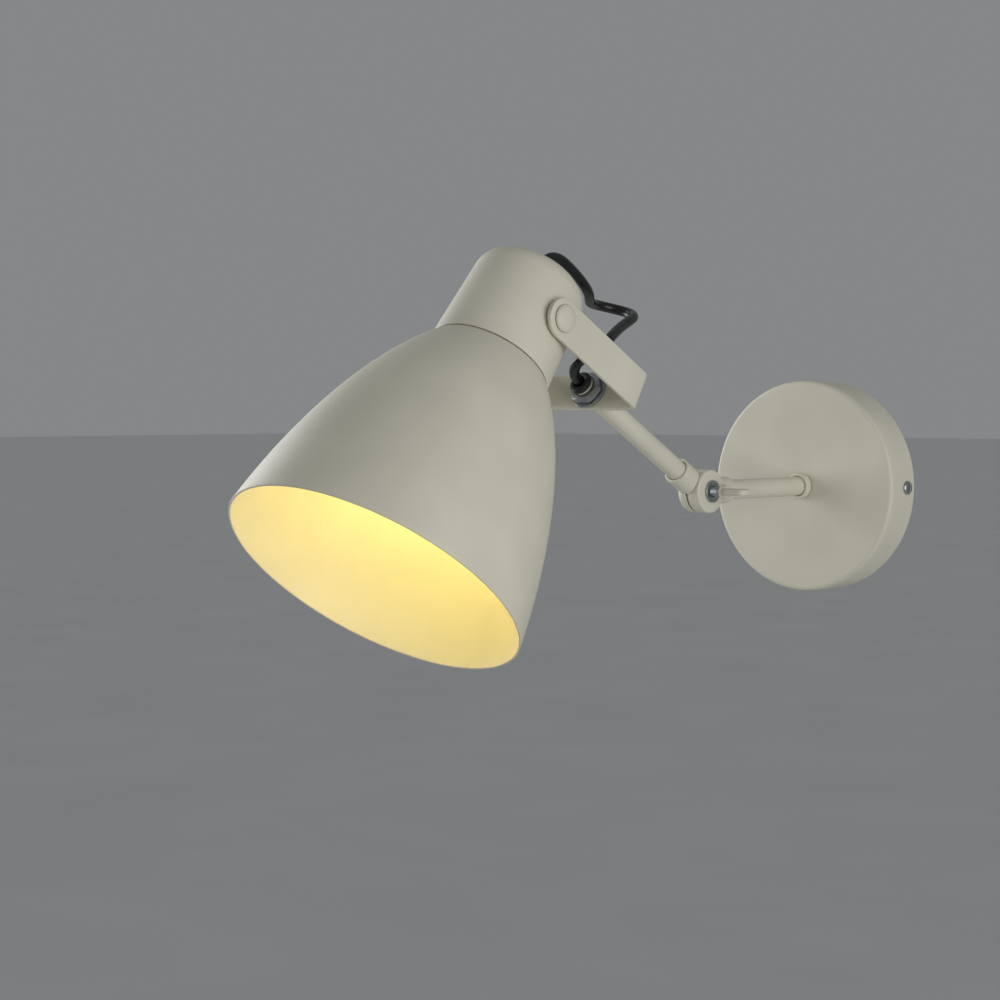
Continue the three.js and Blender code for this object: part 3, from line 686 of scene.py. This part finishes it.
def smooth_route(points, spacing):
    """Evenly spaced points on a smooth curve through the route's points, in metres."""
    route = [Vector(point) for point in points]
    ends = [route[0] * 2 - route[1], *route, route[-1] * 2 - route[-2]]
    fine = []
    steps = 12
    for p0, p1, p2, p3 in zip(ends, ends[1:], ends[2:], ends[3:]):
        for step in range(steps):
            t = step / steps
            line = 2 * p1 + (p2 - p0) * t
            bend = (2 * p0 - 5 * p1 + 4 * p2 - p3) * t**2 + (3 * p1 - p0 - 3 * p2 + p3) * t**3
            fine.append((line + bend) / 2)
    fine.append(route[-1])
    even = [fine[0]]
    gone = 0.0
    for a, b in zip(fine, fine[1:]):
        gone += (b - a).length
        if gone >= spacing:
            even.append(b)
            gone = 0.0
    even[-1] = fine[-1]
    # A cord has no sudden change of bend, so the points are averaged along it a few times.
    for _ in range(6):
        middle = [(a + b + c) / 3 for a, b, c in zip(even, even[1:], even[2:])]
        even = [even[0], *middle, even[-1]]
    return even


def settle(shape, name, place, body, slot, stands_for=(), crease=32):
    """Carries a shape from its place's millimetres into the frame and gives it its finish and body."""
    shape.data.transform(place)
    shape.name = name
    shape.data.name = name
    shape.data.materials.clear()
    shape.data.materials.append(finishes[slot])
    shape.data.shade_smooth()
    shape.data.set_sharp_from_angle(angle=math.radians(crease))
    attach(shape, body)
    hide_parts(*stands_for)
    return shape


def keep_node(node, slot, edge=0.2, finish=None):
    """A frame node that shows as it is, with its finish and finely broken edges."""
    shown = frame["nodes"][node]
    shown.data.materials.clear()
    shown.data.materials.append(finishes[finish or slot])
    shown.data.shade_smooth()
    shown.data.set_sharp_from_angle(angle=math.radians(32))
    if edge:
        add_bevel(shown, edge * MM, 2, 40)
    return shown


def plain_ring(node, place, body, slot, edge=0.3):
    """A washer, nipple or spacer: the node's own turned ring, made fine and with broken edges."""
    hole, radius, start, end = turned_size(node, place)
    shape = turned(rounded(ring_outline(hole, radius, start, end), edge), 72)
    return settle(shape, f"{node}_fine", place, body, slot, [node])


# ------------------------------------------------------------------ operators


class SCONCE_OT_finishes(bpy.types.Operator):
    """Make the materials of every finish"""

    bl_idname = "sconce.finishes"
    bl_label = "Finishes"

    def execute(self, context):
        make_finishes(context.scene)
        return {"FINISHED"}


class SCONCE_OT_wall_parts(bpy.types.Operator):
    """Finish the wall strap, its earth screw and the terminal block with its screws"""

    bl_idname = "sconce.wall_parts"
    bl_label = "Wall strap"

    def execute(self, context):
        keep_node("wall_strap", "zinc", finish="strip")
        keep_node("earth_screw", "brass")
        keep_node("terminal_block", "white_plastic", edge=0.4)
        spacing = sizes_in_mm()["terminal_spacing"] * MM
        middle, face = box_centre("terminal_block"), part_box("terminal_block")[0].y
        radius, bottom, top = 1.7, -6, -3.2  # sunk in the block's wells
        for row in (-1, 0, 1):
            place = place_along((middle.x, face, middle.z + row * spacing), (0, -1, 0))
            head = rounded([(0, bottom), (radius, bottom), (radius, top), (0, top)], 0.3)
            settle(turned(head, 32), f"terminal_screw_{row + 2}", place, "wall_side", "zinc")
        return {"FINISHED"}


class SCONCE_OT_canopy(bpy.types.Operator):
    """Build the canopy's pressed steel cover and its two side screws"""

    bl_idname = "sconce.canopy"
    bl_label = "Canopy"

    def execute(self, context):
        sizes = sizes_in_mm()
        wall, edge = sizes["canopy_wall"], sizes["canopy_edge"]
        hole, radius, _, depth = turned_size("canopy_cover", WALL)
        outline = [(radius, 0), *arc((radius - edge, depth - edge), edge, 0, 90)]
        outline += rounded([(hole, depth), (hole, depth - wall)], 0.2)
        outline += [*arc((radius - edge, depth - edge), edge - wall, 90, 0), (radius - wall, 0)]
        cover = turned(outline, 192)
        inset = -box_centre("canopy_screw_right").y / MM
        screw_hole = sizes["canopy_screw_radius"] + CLEARANCE
        holes = rod(screw_hole, -radius - 1, radius + 1, 32, across=True)
        holes.data.transform(Matrix.Translation((0, -inset, 0)))
        combine(cover, holes, "DIFFERENCE")
        settle(cover, "canopy_shell", WALL, "wall_side", "paint", ["canopy_cover"])
        for name, side in (("right", 1), ("left", -1)):
            self.add_screw(name, side, inset, sizes["canopy_screw_radius"])
        return {"FINISHED"}

    def add_screw(self, name, side, inset, shank):
        """A slotted pan head screw."""
        node = f"canopy_screw_{name}"
        place = sideways((0, -inset * MM, 0), side)
        _, head, tip, top = turned_size(node, place)
        face = top - 1.4
        outline = [(0, tip), (shank - 0.4, tip)]
        outline += thread(shank, tip + 0.4, face - 1.6, pitch=0.7, depth=0.22)
        outline += [(shank, face - 1.2), (shank, face), (head, face), (head, face + 0.5)]
        outline += [(head * 0.86, face + 1.05), (head * 0.55, top), (0, top)]
        screw = turned(rounded(outline, 0.25), 64)
        half_length, half_width, depth = 5, 0.45, 0.8
        corners = [(-half_length, -half_width), (half_length, -half_width)]
        corners += [(half_length, half_width), (-half_length, half_width)]
        slot = prism(corners, top - depth, top + 1)
        slot.data.transform(Matrix.Rotation(math.radians(90), 4, "X"))
        combine(screw, slot, "DIFFERENCE")
        settle(bevelled(screw, 0.06, 1, 50), f"{node}_fine", place, "wall_side", "zinc", [node])


class SCONCE_OT_stem(bpy.types.Operator):
    """Build the stem, its collar, washer and nut, and the lead that turns into it"""

    bl_idname = "sconce.stem"
    bl_label = "Stem"

    def execute(self, context):
        hole, radius, start, end = turned_size("stem_tube", WALL)
        _, _, nut_start, nut_end = turned_size("stem_nut", WALL)
        thread_end = nut_end + 3
        outline = [(hole, start), *thread(radius, start, thread_end, pitch=1, depth=0.2)]
        outline += [(radius, thread_end + 0.2), (radius, end), (hole, end)]
        settle(turned(outline, 72), "stem_pipe", WALL, "wall_side", "paint", ["stem_tube"])
        hole, radius, start, end = turned_size("stem_collar", WALL)
        collar = turned(rounded(ring_outline(hole, radius, start, end), 0.9, 5), 72)
        settle(collar, "stem_ferrule", WALL, "wall_side", "paint", ["stem_collar"])
        plain_ring("stem_washer", WALL, "wall_side", "zinc")
        nut = hex_nut(sizes_in_mm()["nut_width"], hole, nut_start, nut_end)
        settle(nut, "stem_nut_fine", WALL, "wall_side", "zinc", ["stem_nut"])
        keep_node("stem_cord", "cord", edge=0)
        return {"FINISHED"}


class SCONCE_OT_knuckle(bpy.types.Operator):
    """Build the two cast halves of the knuckle"""

    bl_idname = "sconce.knuckle"
    bl_label = "Knuckle"

    def execute(self, context):
        sizes = sizes_in_mm()
        place = KNUCKLE @ Matrix.Rotation(math.pi, 4, "Z")
        near = self.half(sizes, "knuckle_stem_half", place, sizes["near_round"])
        screw_hole = turned_size("knuckle_screw", CLAMP)[1] + CLEARANCE
        combine(near, rod(screw_hole, -12, 0, 32, across=True), "DIFFERENCE")
        near = cast(near, 0.24, 3)
        settle(near, "knuckle_near_casting", place, "wall_side", "paint", ["knuckle_stem_half"], 60)
        far = cast(self.half(sizes, "knuckle_arm_half", ARM, sizes["far_round"]), 0.24, 3)
        settle(far, "knuckle_far_casting", ARM, "arm", "paint", ["knuckle_arm_half"], 60)
        keep_node("knuckle_friction_ring", "black_plastic", edge=0)
        return {"FINISHED"}

    def half(self, sizes, node, place, outer_round):
        """One half: a drum on the -X side of the seam, and a socket outward."""
        back = place.inverted()
        points = [back @ vertex.co for vertex in frame["nodes"][node].data.vertices]
        width = -min(p.x for p in points)
        radius = max(p.z for p in points)
        reach = -min(p.y for p in points)
        seam, collar = sizes["seam"], sizes["socket_radius"]
        bore = sizes["tube_radius"] + CLEARANCE
        drum = [(0, -seam), (radius, -seam)]
        drum += [*arc((radius - outer_round, -width + outer_round), outer_round, 0, -90), (0, -width)]
        shape = turned(drum, 96, across=True)
        socket = turned(rounded([(0, 0), (collar, 0), (collar, reach), (0, reach)], 0.5), 72)
        combine(socket, rod(radius + 0.5, -seam, radius * 2, 96, across=True), "DIFFERENCE")
        combine(shape, socket, "UNION")
        return combine(shape, rod(bore, reach - sizes["socket_depth"], reach + 1, 72), "DIFFERENCE")


class SCONCE_OT_clamp(bpy.types.Operator):
    """Build the knuckle's wing screw and washer"""

    bl_idname = "sconce.clamp"
    bl_label = "Wing screw"

    def execute(self, context):
        sizes = sizes_in_mm()
        _, radius, start, end = turned_size("knuckle_screw", CLAMP)
        outline = [(0, start), (radius - 0.4, start)]
        outline += thread(radius, start + 0.4, end - 0.5, pitch=0.8, depth=sizes["thread_depth"])
        outline += [(radius - 0.3, end), (0, end)]
        settle(turned(outline, 64), "clamp_screw", CLAMP, "wing_screw", "zinc", ["knuckle_screw"])
        plain_ring("knuckle_washer", CLAMP, "wing_screw", "zinc")
        low, high = (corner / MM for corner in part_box("knuckle_wing"))
        middle = knuckle_point / MM
        hub_radius = high.z - middle.z
        paddle_start = low.x + 1.2
        half_thickness = sizes["wing_thickness"] / 2
        blade = rounded_rectangle(high.x - paddle_start, high.y - low.y, 3.4)
        paddle = prism(blade, -half_thickness, half_thickness)
        paddle.data.transform(Matrix.Translation(((high.x + paddle_start) / 2, 0, 0)))
        bevelled(paddle, 1.1, 4)
        hub_end = end + 2
        hub = [(0, low.x), (hub_radius, low.x), (hub_radius * 0.8, hub_end), (0, hub_end)]
        combine(paddle, turned(rounded(hub, 0.6), 64, across=True), "UNION")
        combine(paddle, rod(radius + 0.2, low.x - 1, end + 0.2, 48, across=True), "DIFFERENCE")
        wing = cast(paddle, 0.2, 4)
        settle(wing, "wing_head", KNUCKLE, "wing_screw", "paint", ["knuckle_wing"], 60)
        return {"FINISHED"}


class SCONCE_OT_arm(bpy.types.Operator):
    """Build the arm's tube with the threaded end that holds the yoke, and finish the lead in it"""

    bl_idname = "sconce.arm"
    bl_label = "Arm"

    def execute(self, context):
        hole, radius, start, end = turned_size("arm_tube", ARM)
        base = (yoke_point - knuckle_point).length / MM
        outline = [(hole, start), (radius, start), (radius, base - 0.2), (radius - 0.2, base + 0.2)]
        outline += thread(radius, base + 0.4, end - 0.3, pitch=1, depth=0.3)
        outline += [(radius - 0.4, end), (hole, end)]
        settle(turned(outline, 72), "arm_pipe", ARM, "arm", "paint", ["arm_tube"])
        keep_node("arm_cord", "cord", edge=0)
        return {"FINISHED"}


class SCONCE_OT_yoke(bpy.types.Operator):
    """Build the bent yoke, its washer and nut, and the cord's bushing"""

    bl_idname = "sconce.yoke"
    bl_label = "Yoke"

    def execute(self, context):
        sizes = sizes_in_mm()
        half_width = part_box("yoke_bracket")[1].x / MM
        leg = (pivot_point - yoke_point).length / MM
        strip = self.bent_strip(sizes, half_width, leg)
        settle(strip, "yoke_strip", YOKE, "yoke", "paint", ["yoke_bracket"])
        plain_ring("yoke_washer", ARM, "yoke", "zinc")
        hole, _, start, end = turned_size("yoke_nut", ARM)
        nut = hex_nut(sizes["nut_width"], hole, start, end)
        settle(nut, "yoke_nut_fine", ARM, "yoke", "zinc", ["yoke_nut"])
        hole, lip, start, end = turned_size("cord_bushing", ARM)
        sleeve, lip_start = sizes["tube_bore"] - CLEARANCE, end - 2.6
        outline = [(hole, start), (sleeve, start), (sleeve, lip_start), (lip, lip_start)]
        outline += [(lip, end - 1.2), (lip - 1.3, end), (hole + 0.2, end)]
        bushing = turned(rounded(outline, 0.5, 4), 64)
        settle(bushing, "bushing_fine", ARM, "yoke", "black_plastic", ["cord_bushing"])
        return {"FINISHED"}

    def bent_strip(self, sizes, half_width, leg):
        """A flat strip bent into a U, its edges broken, its ends half circles round the pivot."""
        thick, bend, half_strip = sizes["yoke_thickness"], sizes["yoke_bend"], sizes["yoke_half_strip"]
        middle = bend - thick / 2
        side = half_width - thick / 2
        end_steps = [half_strip * math.sin(math.radians(angle)) for angle in range(87, 0, -6)]
        right = [((side, leg + beyond), (1, 0), beyond) for beyond in end_steps]
        right += [((side, leg * share), (1, 0), 0) for share in (1, 0.75, 0.5, 0.25)]
        for angle in range(0, -91, -9):
            turn = math.radians(angle)
            out = (math.cos(turn), math.sin(turn))
            right.append(((half_width - bend + middle * out[0], bend + middle * out[1]), out, 0))
        left = [((-x, reach), (-nx, ny), beyond) for (x, reach), (nx, ny), beyond in reversed(right)]
        maker = bmesh.new()
        rings = []
        for (x, reach), (nx, ny), beyond in right + left:
            half = math.sqrt(half_strip**2 - beyond**2)
            section = rounded_rectangle(2 * half, thick, min(0.55, 0.8 * half), 4)
            ring = [maker.verts.new((x + nx * b, -(reach + ny * b), a)) for a, b in section]
            rings.append(ring)
        for ring, following in zip(rings, rings[1:]):
            for i in range(len(ring)):
                j = (i + 1) % len(ring)
                maker.faces.new((ring[i], ring[j], following[j], following[i]))
        maker.faces.new(rings[0])
        maker.faces.new(rings[-1])
        return new_shape(maker)


class SCONCE_OT_pivots(bpy.types.Operator):
    """Build the two pivot screws and spacers, and finish their nuts"""

    bl_idname = "sconce.pivots"
    bl_label = "Pivots"

    def execute(self, context):
        shank = sizes_in_mm()["pivot_screw_radius"]
        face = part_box("yoke_bracket")[1].x / MM + CLEARANCE
        for name, side in (("right", 1), ("left", -1)):
            place = sideways(pivot_point, side)
            node = f"pivot_screw_{name}"
            _, head, tip, top = turned_size(node, place)
            outline = [(0, tip), (shank - 0.4, tip)]
            outline += thread(shank, tip + 0.4, tip + 6, pitch=1, depth=0.25)
            outline += [(shank, tip + 6.5), (shank, face), (head - 0.3, face), (head, face + 0.4)]
            dome = arc((0, face + 0.6), 1, 5, 90, 12)
            outline += [(head * x, face + 0.6 + (top - face - 0.6) * (y - face - 0.6)) for x, y in dome]
            outline[-1] = (0, top)
            settle(turned(outline, 72), f"pivot_head_{name}", place, "head", "paint", [node], crease=50)
            plain_ring(f"pivot_spacer_{name}", place, "head", "black_plastic", edge=0.4)
            keep_node(f"pivot_nut_{name}", "zinc")
        return {"FINISHED"}


class SCONCE_OT_cap(bpy.types.Operator):
    """Build the cap over the lampholder, its cord gland and threaded nipple"""

    bl_idname = "sconce.cap"
    bl_label = "Cap"

    def execute(self, context):
        sizes = sizes_in_mm()
        hole, rim_radius, back, rim = turned_size("lampholder_cap", HEAD)
        wall, corner, back_radius = sizes["cap_wall"], sizes["cap_corner"], sizes["cap_back_radius"]
        centre = (back_radius - corner, back + corner)
        outline = [(hole, back), *arc(centre, corner, -90, 0, 16)]
        outline += [(rim_radius - 0.1, rim - 0.5), (rim_radius - 0.4, rim), (rim_radius - wall, rim)]
        outline += [*arc(centre, corner - wall, 0, -90, 16), (hole, back + wall)]
        settle(turned(outline, 160), "cap_shell", HEAD, "head", "paint", ["lampholder_cap"])
        self.add_gland(sizes)
        plain_ring("cap_nipple", HEAD, "head", "zinc")
        hole, _, start, end = turned_size("nipple_nut", HEAD)
        nut = hex_nut(sizes["nut_width"], hole, start, end)
        settle(nut, "nipple_nut_fine", HEAD, "head", "zinc", ["nipple_nut"])
        keep_node("cap_cord", "cord", edge=0)
        return {"FINISHED"}

    def add_gland(self, sizes):
        """A nylon cord grip: a ribbed nut and a tapered nose."""
        hole, radius, end, face = turned_size("cord_gland", HEAD)
        nose, socket = sizes["gland_nose"], sizes["tube_radius"] + CLEARANCE
        height, inner = face - end, face - 3
        outline = [(socket, face), (radius, face), (radius, face - height * 0.42)]
        outline += [(radius - 0.5, face - height * 0.5), (nose, end + 0.3), (nose - 0.4, end)]
        outline += [(hole, end), (hole, inner), (socket, inner)]
        gland = turned(outline, 120, ribs=20, rib_depth=-0.18)
        settle(gland, "gland_fine", HEAD, "head", "black_plastic", ["cord_gland"])


class SCONCE_OT_shade(bpy.types.Operator):
    """Build the spun bell shade, painted outside and enamelled inside"""

    bl_idname = "sconce.shade"
    bl_label = "Shade"

    def execute(self, context):
        sizes = sizes_in_mm()
        hole, mouth_radius, neck, mouth = turned_size("shade", HEAD)
        wall = sizes["shade_wall"]
        bell = self.bell_curve(sizes, neck, mouth, mouth_radius)
        outer = [point for point, _ in bell]
        inner = [point - normal * wall for point, normal in bell]
        inner = [Vector((p.x, min(max(p.y, neck + wall), mouth))) for p in inner]
        rim = arc(((outer[-1].x + inner[-1].x) / 2, mouth - wall / 2), wall / 2, 0, 180, 8)
        outline = [(hole, neck), (outer[0].x - 0.6, neck), (outer[0].x - 0.15, neck + 0.2)]
        outline += [tuple(p) for p in outer[1:] if p.y < mouth - wall / 2] + rim
        outline += [tuple(p) for p in reversed(inner) if neck + wall < p.y < mouth - wall / 2]
        outline += [(inner[0].x, neck + wall), (hole, neck + wall)]
        shade = turned(outline, 192)
        settle(shade, "shade_bell", HEAD, "head", "paint", ["shade"], crease=40)
        shade.data.materials.append(finishes["lining"])
        neck_radius = sizes["shade_neck_radius"] * MM
        for face in shade.data.polygons:
            offset = face.center - pivot_point
            across = offset - head_outward * offset.dot(head_outward)
            inward = face.normal.dot(across.normalized()) < -0.1
            under_neck = across.length < neck_radius and face.normal.dot(head_outward) > 0.5
            face.material_index = 1 if inward or under_neck else 0
        return {"FINISHED"}

    def bell_curve(self, sizes, neck, mouth, mouth_radius, steps=56):
        """Points of the bell's outer curve with their outward normals."""
        p0 = Vector((sizes["shade_neck_radius"], neck))
        p1 = Vector((sizes["shoulder_radius"], neck + sizes["shoulder_reach"]))
        p2 = Vector((sizes["flank_radius"], mouth - sizes["flank_reach"]))
        p3 = Vector((mouth_radius, mouth))
        found = []
        for step in range(steps + 1):
            t = step / steps
            s = 1 - t
            point = p0 * s**3 + p1 * 3 * s**2 * t + p2 * 3 * s * t**2 + p3 * t**3
            slope = (p1 - p0) * 3 * s**2 + (p2 - p1) * 6 * s * t + (p3 - p2) * 3 * t**2
            found.append((point, Vector((slope.y, -slope.x)).normalized()))
        return found


class SCONCE_OT_lampholder(bpy.types.Operator):
    """Build the lampholder's threaded skirt and ribbed ring, and finish its inner pieces"""

    bl_idname = "sconce.lampholder"
    bl_label = "Lampholder"

    def execute(self, context):
        hole, flange, start, end = turned_size("lampholder_skirt", HEAD)
        _, core_radius, _, core_end = turned_size("lampholder_core", HEAD)
        core_radius, core_end = core_radius + CLEARANCE, core_end + CLEARANCE
        radius = sizes_in_mm()["holder_radius"]
        seat = turned_size("shade", HEAD)[2] - CLEARANCE
        flange_start = seat - 2.4
        outline = [(core_radius, start), (radius, start)]
        outline += [(radius, flange_start), (flange, flange_start), (flange, seat), (radius, seat)]
        outline += thread(radius, seat + 0.5, end - 1.4, pitch=2, depth=0.6)
        outline += [(radius - 0.6, end - 0.6), (radius - 1.4, end), (hole + 0.6, end)]
        outline += [(hole, end - 0.6), (hole, core_end), (core_radius, core_end)]
        skirt = turned(outline, 96)
        settle(skirt, "holder_skirt", HEAD, "head", "white_plastic", ["lampholder_skirt"])
        hole, radius, start, end = turned_size("lampholder_ring", HEAD)
        outline = rounded(ring_outline(hole, radius - 0.5, start, end), 0.5)
        ring = turned(outline, 288, ribs=36, rib_depth=0.45)
        settle(ring, "holder_ring", HEAD, "head", "white_plastic", ["lampholder_ring"])
        keep_node("lampholder_dome", "white_plastic", edge=0.3)
        keep_node("lampholder_core", "ceramic", edge=0.4)
        keep_node("centre_contact", "brass", edge=0.1)
        return {"FINISHED"}


class SCONCE_OT_bulb(bpy.types.Operator):
    """Build the lit opal globe and its screw cap"""

    bl_idname = "sconce.bulb"
    bl_label = "Bulb"

    def execute(self, context):
        sizes = sizes_in_mm()
        _, radius, start, end = turned_size("bulb_globe", HEAD)
        neck, glass = sizes["bulb_neck"], sizes["bulb_glass"]
        centre = end - radius
        neck_angle = math.degrees(math.asin(neck / radius))
        inner_angle = math.degrees(math.asin((neck - glass) / (radius - glass)))
        outline = [(neck, start), *arc((0, centre), radius, -90 + neck_angle, 90, 40)]
        outline += [*arc((0, centre), radius - glass, 90, -90 + inner_angle, 30), (neck - glass, start)]
        outline = [(max(r, 0), reach) for r, reach in outline]
        settle(turned(outline, 72), "globe", HEAD, "head", "glass", ["bulb_globe"], crease=60)
        _, radius, start, end = turned_size("bulb_base", HEAD)
        outline = [(0, start), (radius - 4, start), (radius - 0.4, start + 4)]
        outline += thread(radius, start + 4.4, end - 4, pitch=3.6, depth=0.7)
        outline += [(radius, end - 3), (radius, end), (radius - 0.8, end)]
        outline += [(radius - 1.5, start + 5), (0, start + 5)]
        settle(turned(outline, 72), "screw_cap", HEAD, "head", "zinc", ["bulb_base"], crease=60)
        return {"FINISHED"}


class SCONCE_OT_cord(bpy.types.Operator):
    """Build the free cord from the gland on the cap to the bushing on the arm"""

    bl_idname = "sconce.cord"
    bl_label = "Cord"

    def execute(self, context):
        diameter = context.scene.sconce_sizes.cord_diameter
        path = smooth_route(CORD_ROUTE, 0.9 * MM)
        cord = tube_along(path, diameter / 2)
        cord.name = "cord_between_head_and_arm"
        cord.data.name = cord.name
        cord.data.materials.append(finishes["cord"])
        cord.data.shade_smooth()
        cord.data.set_sharp_from_angle(angle=math.radians(60))
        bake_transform(cord)
        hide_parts("cord_loop")
        return {"FINISHED"}


class SCONCE_OT_stage(bpy.types.Operator):
    """Build the floor, the lights, the surroundings and the camera"""

    bl_idname = "sconce.stage"
    bl_label = "Stage"

    def execute(self, context):
        scene = context.scene
        stage = scene.sconce_stage
        self.add_floor(stage)
        self.add_surroundings(scene, stage)
        middle = pivot_point.lerp(knuckle_point, 0.6)
        key_place = middle + Vector((0.9, -0.3, 0))
        fill_place = middle + Vector((-0.95, -0.15, 0.15))
        self.add_light("key_light", key_place, middle, 0.8, stage.key_power)
        self.add_light("fill_light", fill_place, middle, 0.9, stage.fill_power)
        self.add_camera(scene, stage)
        return {"FINISHED"}

    def add_floor(self, stage):
        half_size, level = 60, cad_bounds[0][2] - stage.floor_drop
        corners = [(-half_size, -half_size), (half_size, -half_size)]
        corners += [(half_size, half_size), (-half_size, half_size)]
        maker = bmesh.new()
        maker.faces.new([maker.verts.new((x, y, level)) for x, y in corners])
        floor = new_shape(maker)
        floor.name = "floor"
        floor.data.materials.append(finishes["floor"])

    def add_surroundings(self, scene, stage):
        world = bpy.data.worlds.new("plain surroundings")
        world.use_nodes = True
        background = world.node_tree.nodes["Background"]
        background.inputs["Color"].default_value = (*scene.sconce_colours.surroundings, 1)
        background.inputs["Strength"].default_value = stage.sky
        scene.world = world
        scene.view_settings.view_transform = "Standard"

    def add_light(self, name, point, target, size, power):
        data = bpy.data.lights.new(name, "AREA")
        data.shape = "DISK"
        data.size = size
        data.energy = power
        light = bpy.data.objects.new(name, data)
        turn = (target - point).to_track_quat("-Z", "Y").to_matrix().to_4x4()
        light.matrix_world = Matrix.Translation(point) @ turn
        bpy.context.scene.collection.objects.link(light)

    def add_camera(self, scene, stage):
        azimuth, elevation = stage.camera_azimuth, stage.camera_elevation
        right = Vector((math.cos(azimuth), math.sin(azimuth), 0))
        level = math.cos(elevation)
        back = Vector((math.sin(azimuth) * level, -math.cos(azimuth) * level, math.sin(elevation)))
        up = back.cross(right)
        # The view is aimed a little left of and below a point between the knuckle and the yoke.
        between, left, below = Vector((0, -0.15, 0)), 0.07131, 0.00308
        target = between - right * left - up * below
        data = bpy.data.cameras.new("camera")
        data.lens = stage.focal_length
        data.sensor_width = SENSOR_WIDTH
        data.clip_start = 0.01
        camera = bpy.data.objects.new("camera", data)
        turn = Matrix((right, up, back)).transposed().to_4x4()
        camera.matrix_world = Matrix.Translation(target + back * stage.camera_distance) @ turn
        scene.collection.objects.link(camera)
        scene.camera = camera


OPERATORS = (
    SCONCE_OT_finishes,
    SCONCE_OT_wall_parts,
    SCONCE_OT_canopy,
    SCONCE_OT_stem,
    SCONCE_OT_knuckle,
    SCONCE_OT_clamp,
    SCONCE_OT_arm,
    SCONCE_OT_yoke,
    SCONCE_OT_pivots,
    SCONCE_OT_cap,
    SCONCE_OT_shade,
    SCONCE_OT_lampholder,
    SCONCE_OT_bulb,
    SCONCE_OT_cord,
    SCONCE_OT_stage,
)


class SCONCE_PT_pieces(bpy.types.Panel):
    """The sconce's pieces, in the 3D view's sidebar"""

    bl_idname = "SCONCE_PT_pieces"
    bl_label = "Sconce"
    bl_space_type = "VIEW_3D"
    bl_region_type = "UI"
    bl_category = "Sconce"

    def draw(self, context):
        for operator in OPERATORS:
            self.layout.operator(operator.bl_idname)
        for group in (context.scene.sconce_sizes, context.scene.sconce_colours, context.scene.sconce_stage):
            box = self.layout.box()
            for name in type(group).__annotations__:
                box.prop(group, name)


CLASSES = (SconceSizes, SconceColours, SconceStage, *OPERATORS, SCONCE_PT_pieces)


def register():
    for cls in CLASSES:
        bpy.utils.register_class(cls)
    bpy.types.Scene.sconce_sizes = PointerProperty(type=SconceSizes)
    bpy.types.Scene.sconce_colours = PointerProperty(type=SconceColours)
    bpy.types.Scene.sconce_stage = PointerProperty(type=SconceStage)


def unregister():
    del bpy.types.Scene.sconce_stage
    del bpy.types.Scene.sconce_colours
    del bpy.types.Scene.sconce_sizes
    for cls in reversed(CLASSES):
        bpy.utils.unregister_class(cls)


def main():
    """Builds the whole sconce."""
    register()
    for operator in OPERATORS:
        group, name = operator.bl_idname.split(".")
        getattr(getattr(bpy.ops, group), name)()


if __name__ == "__main__":
    main()
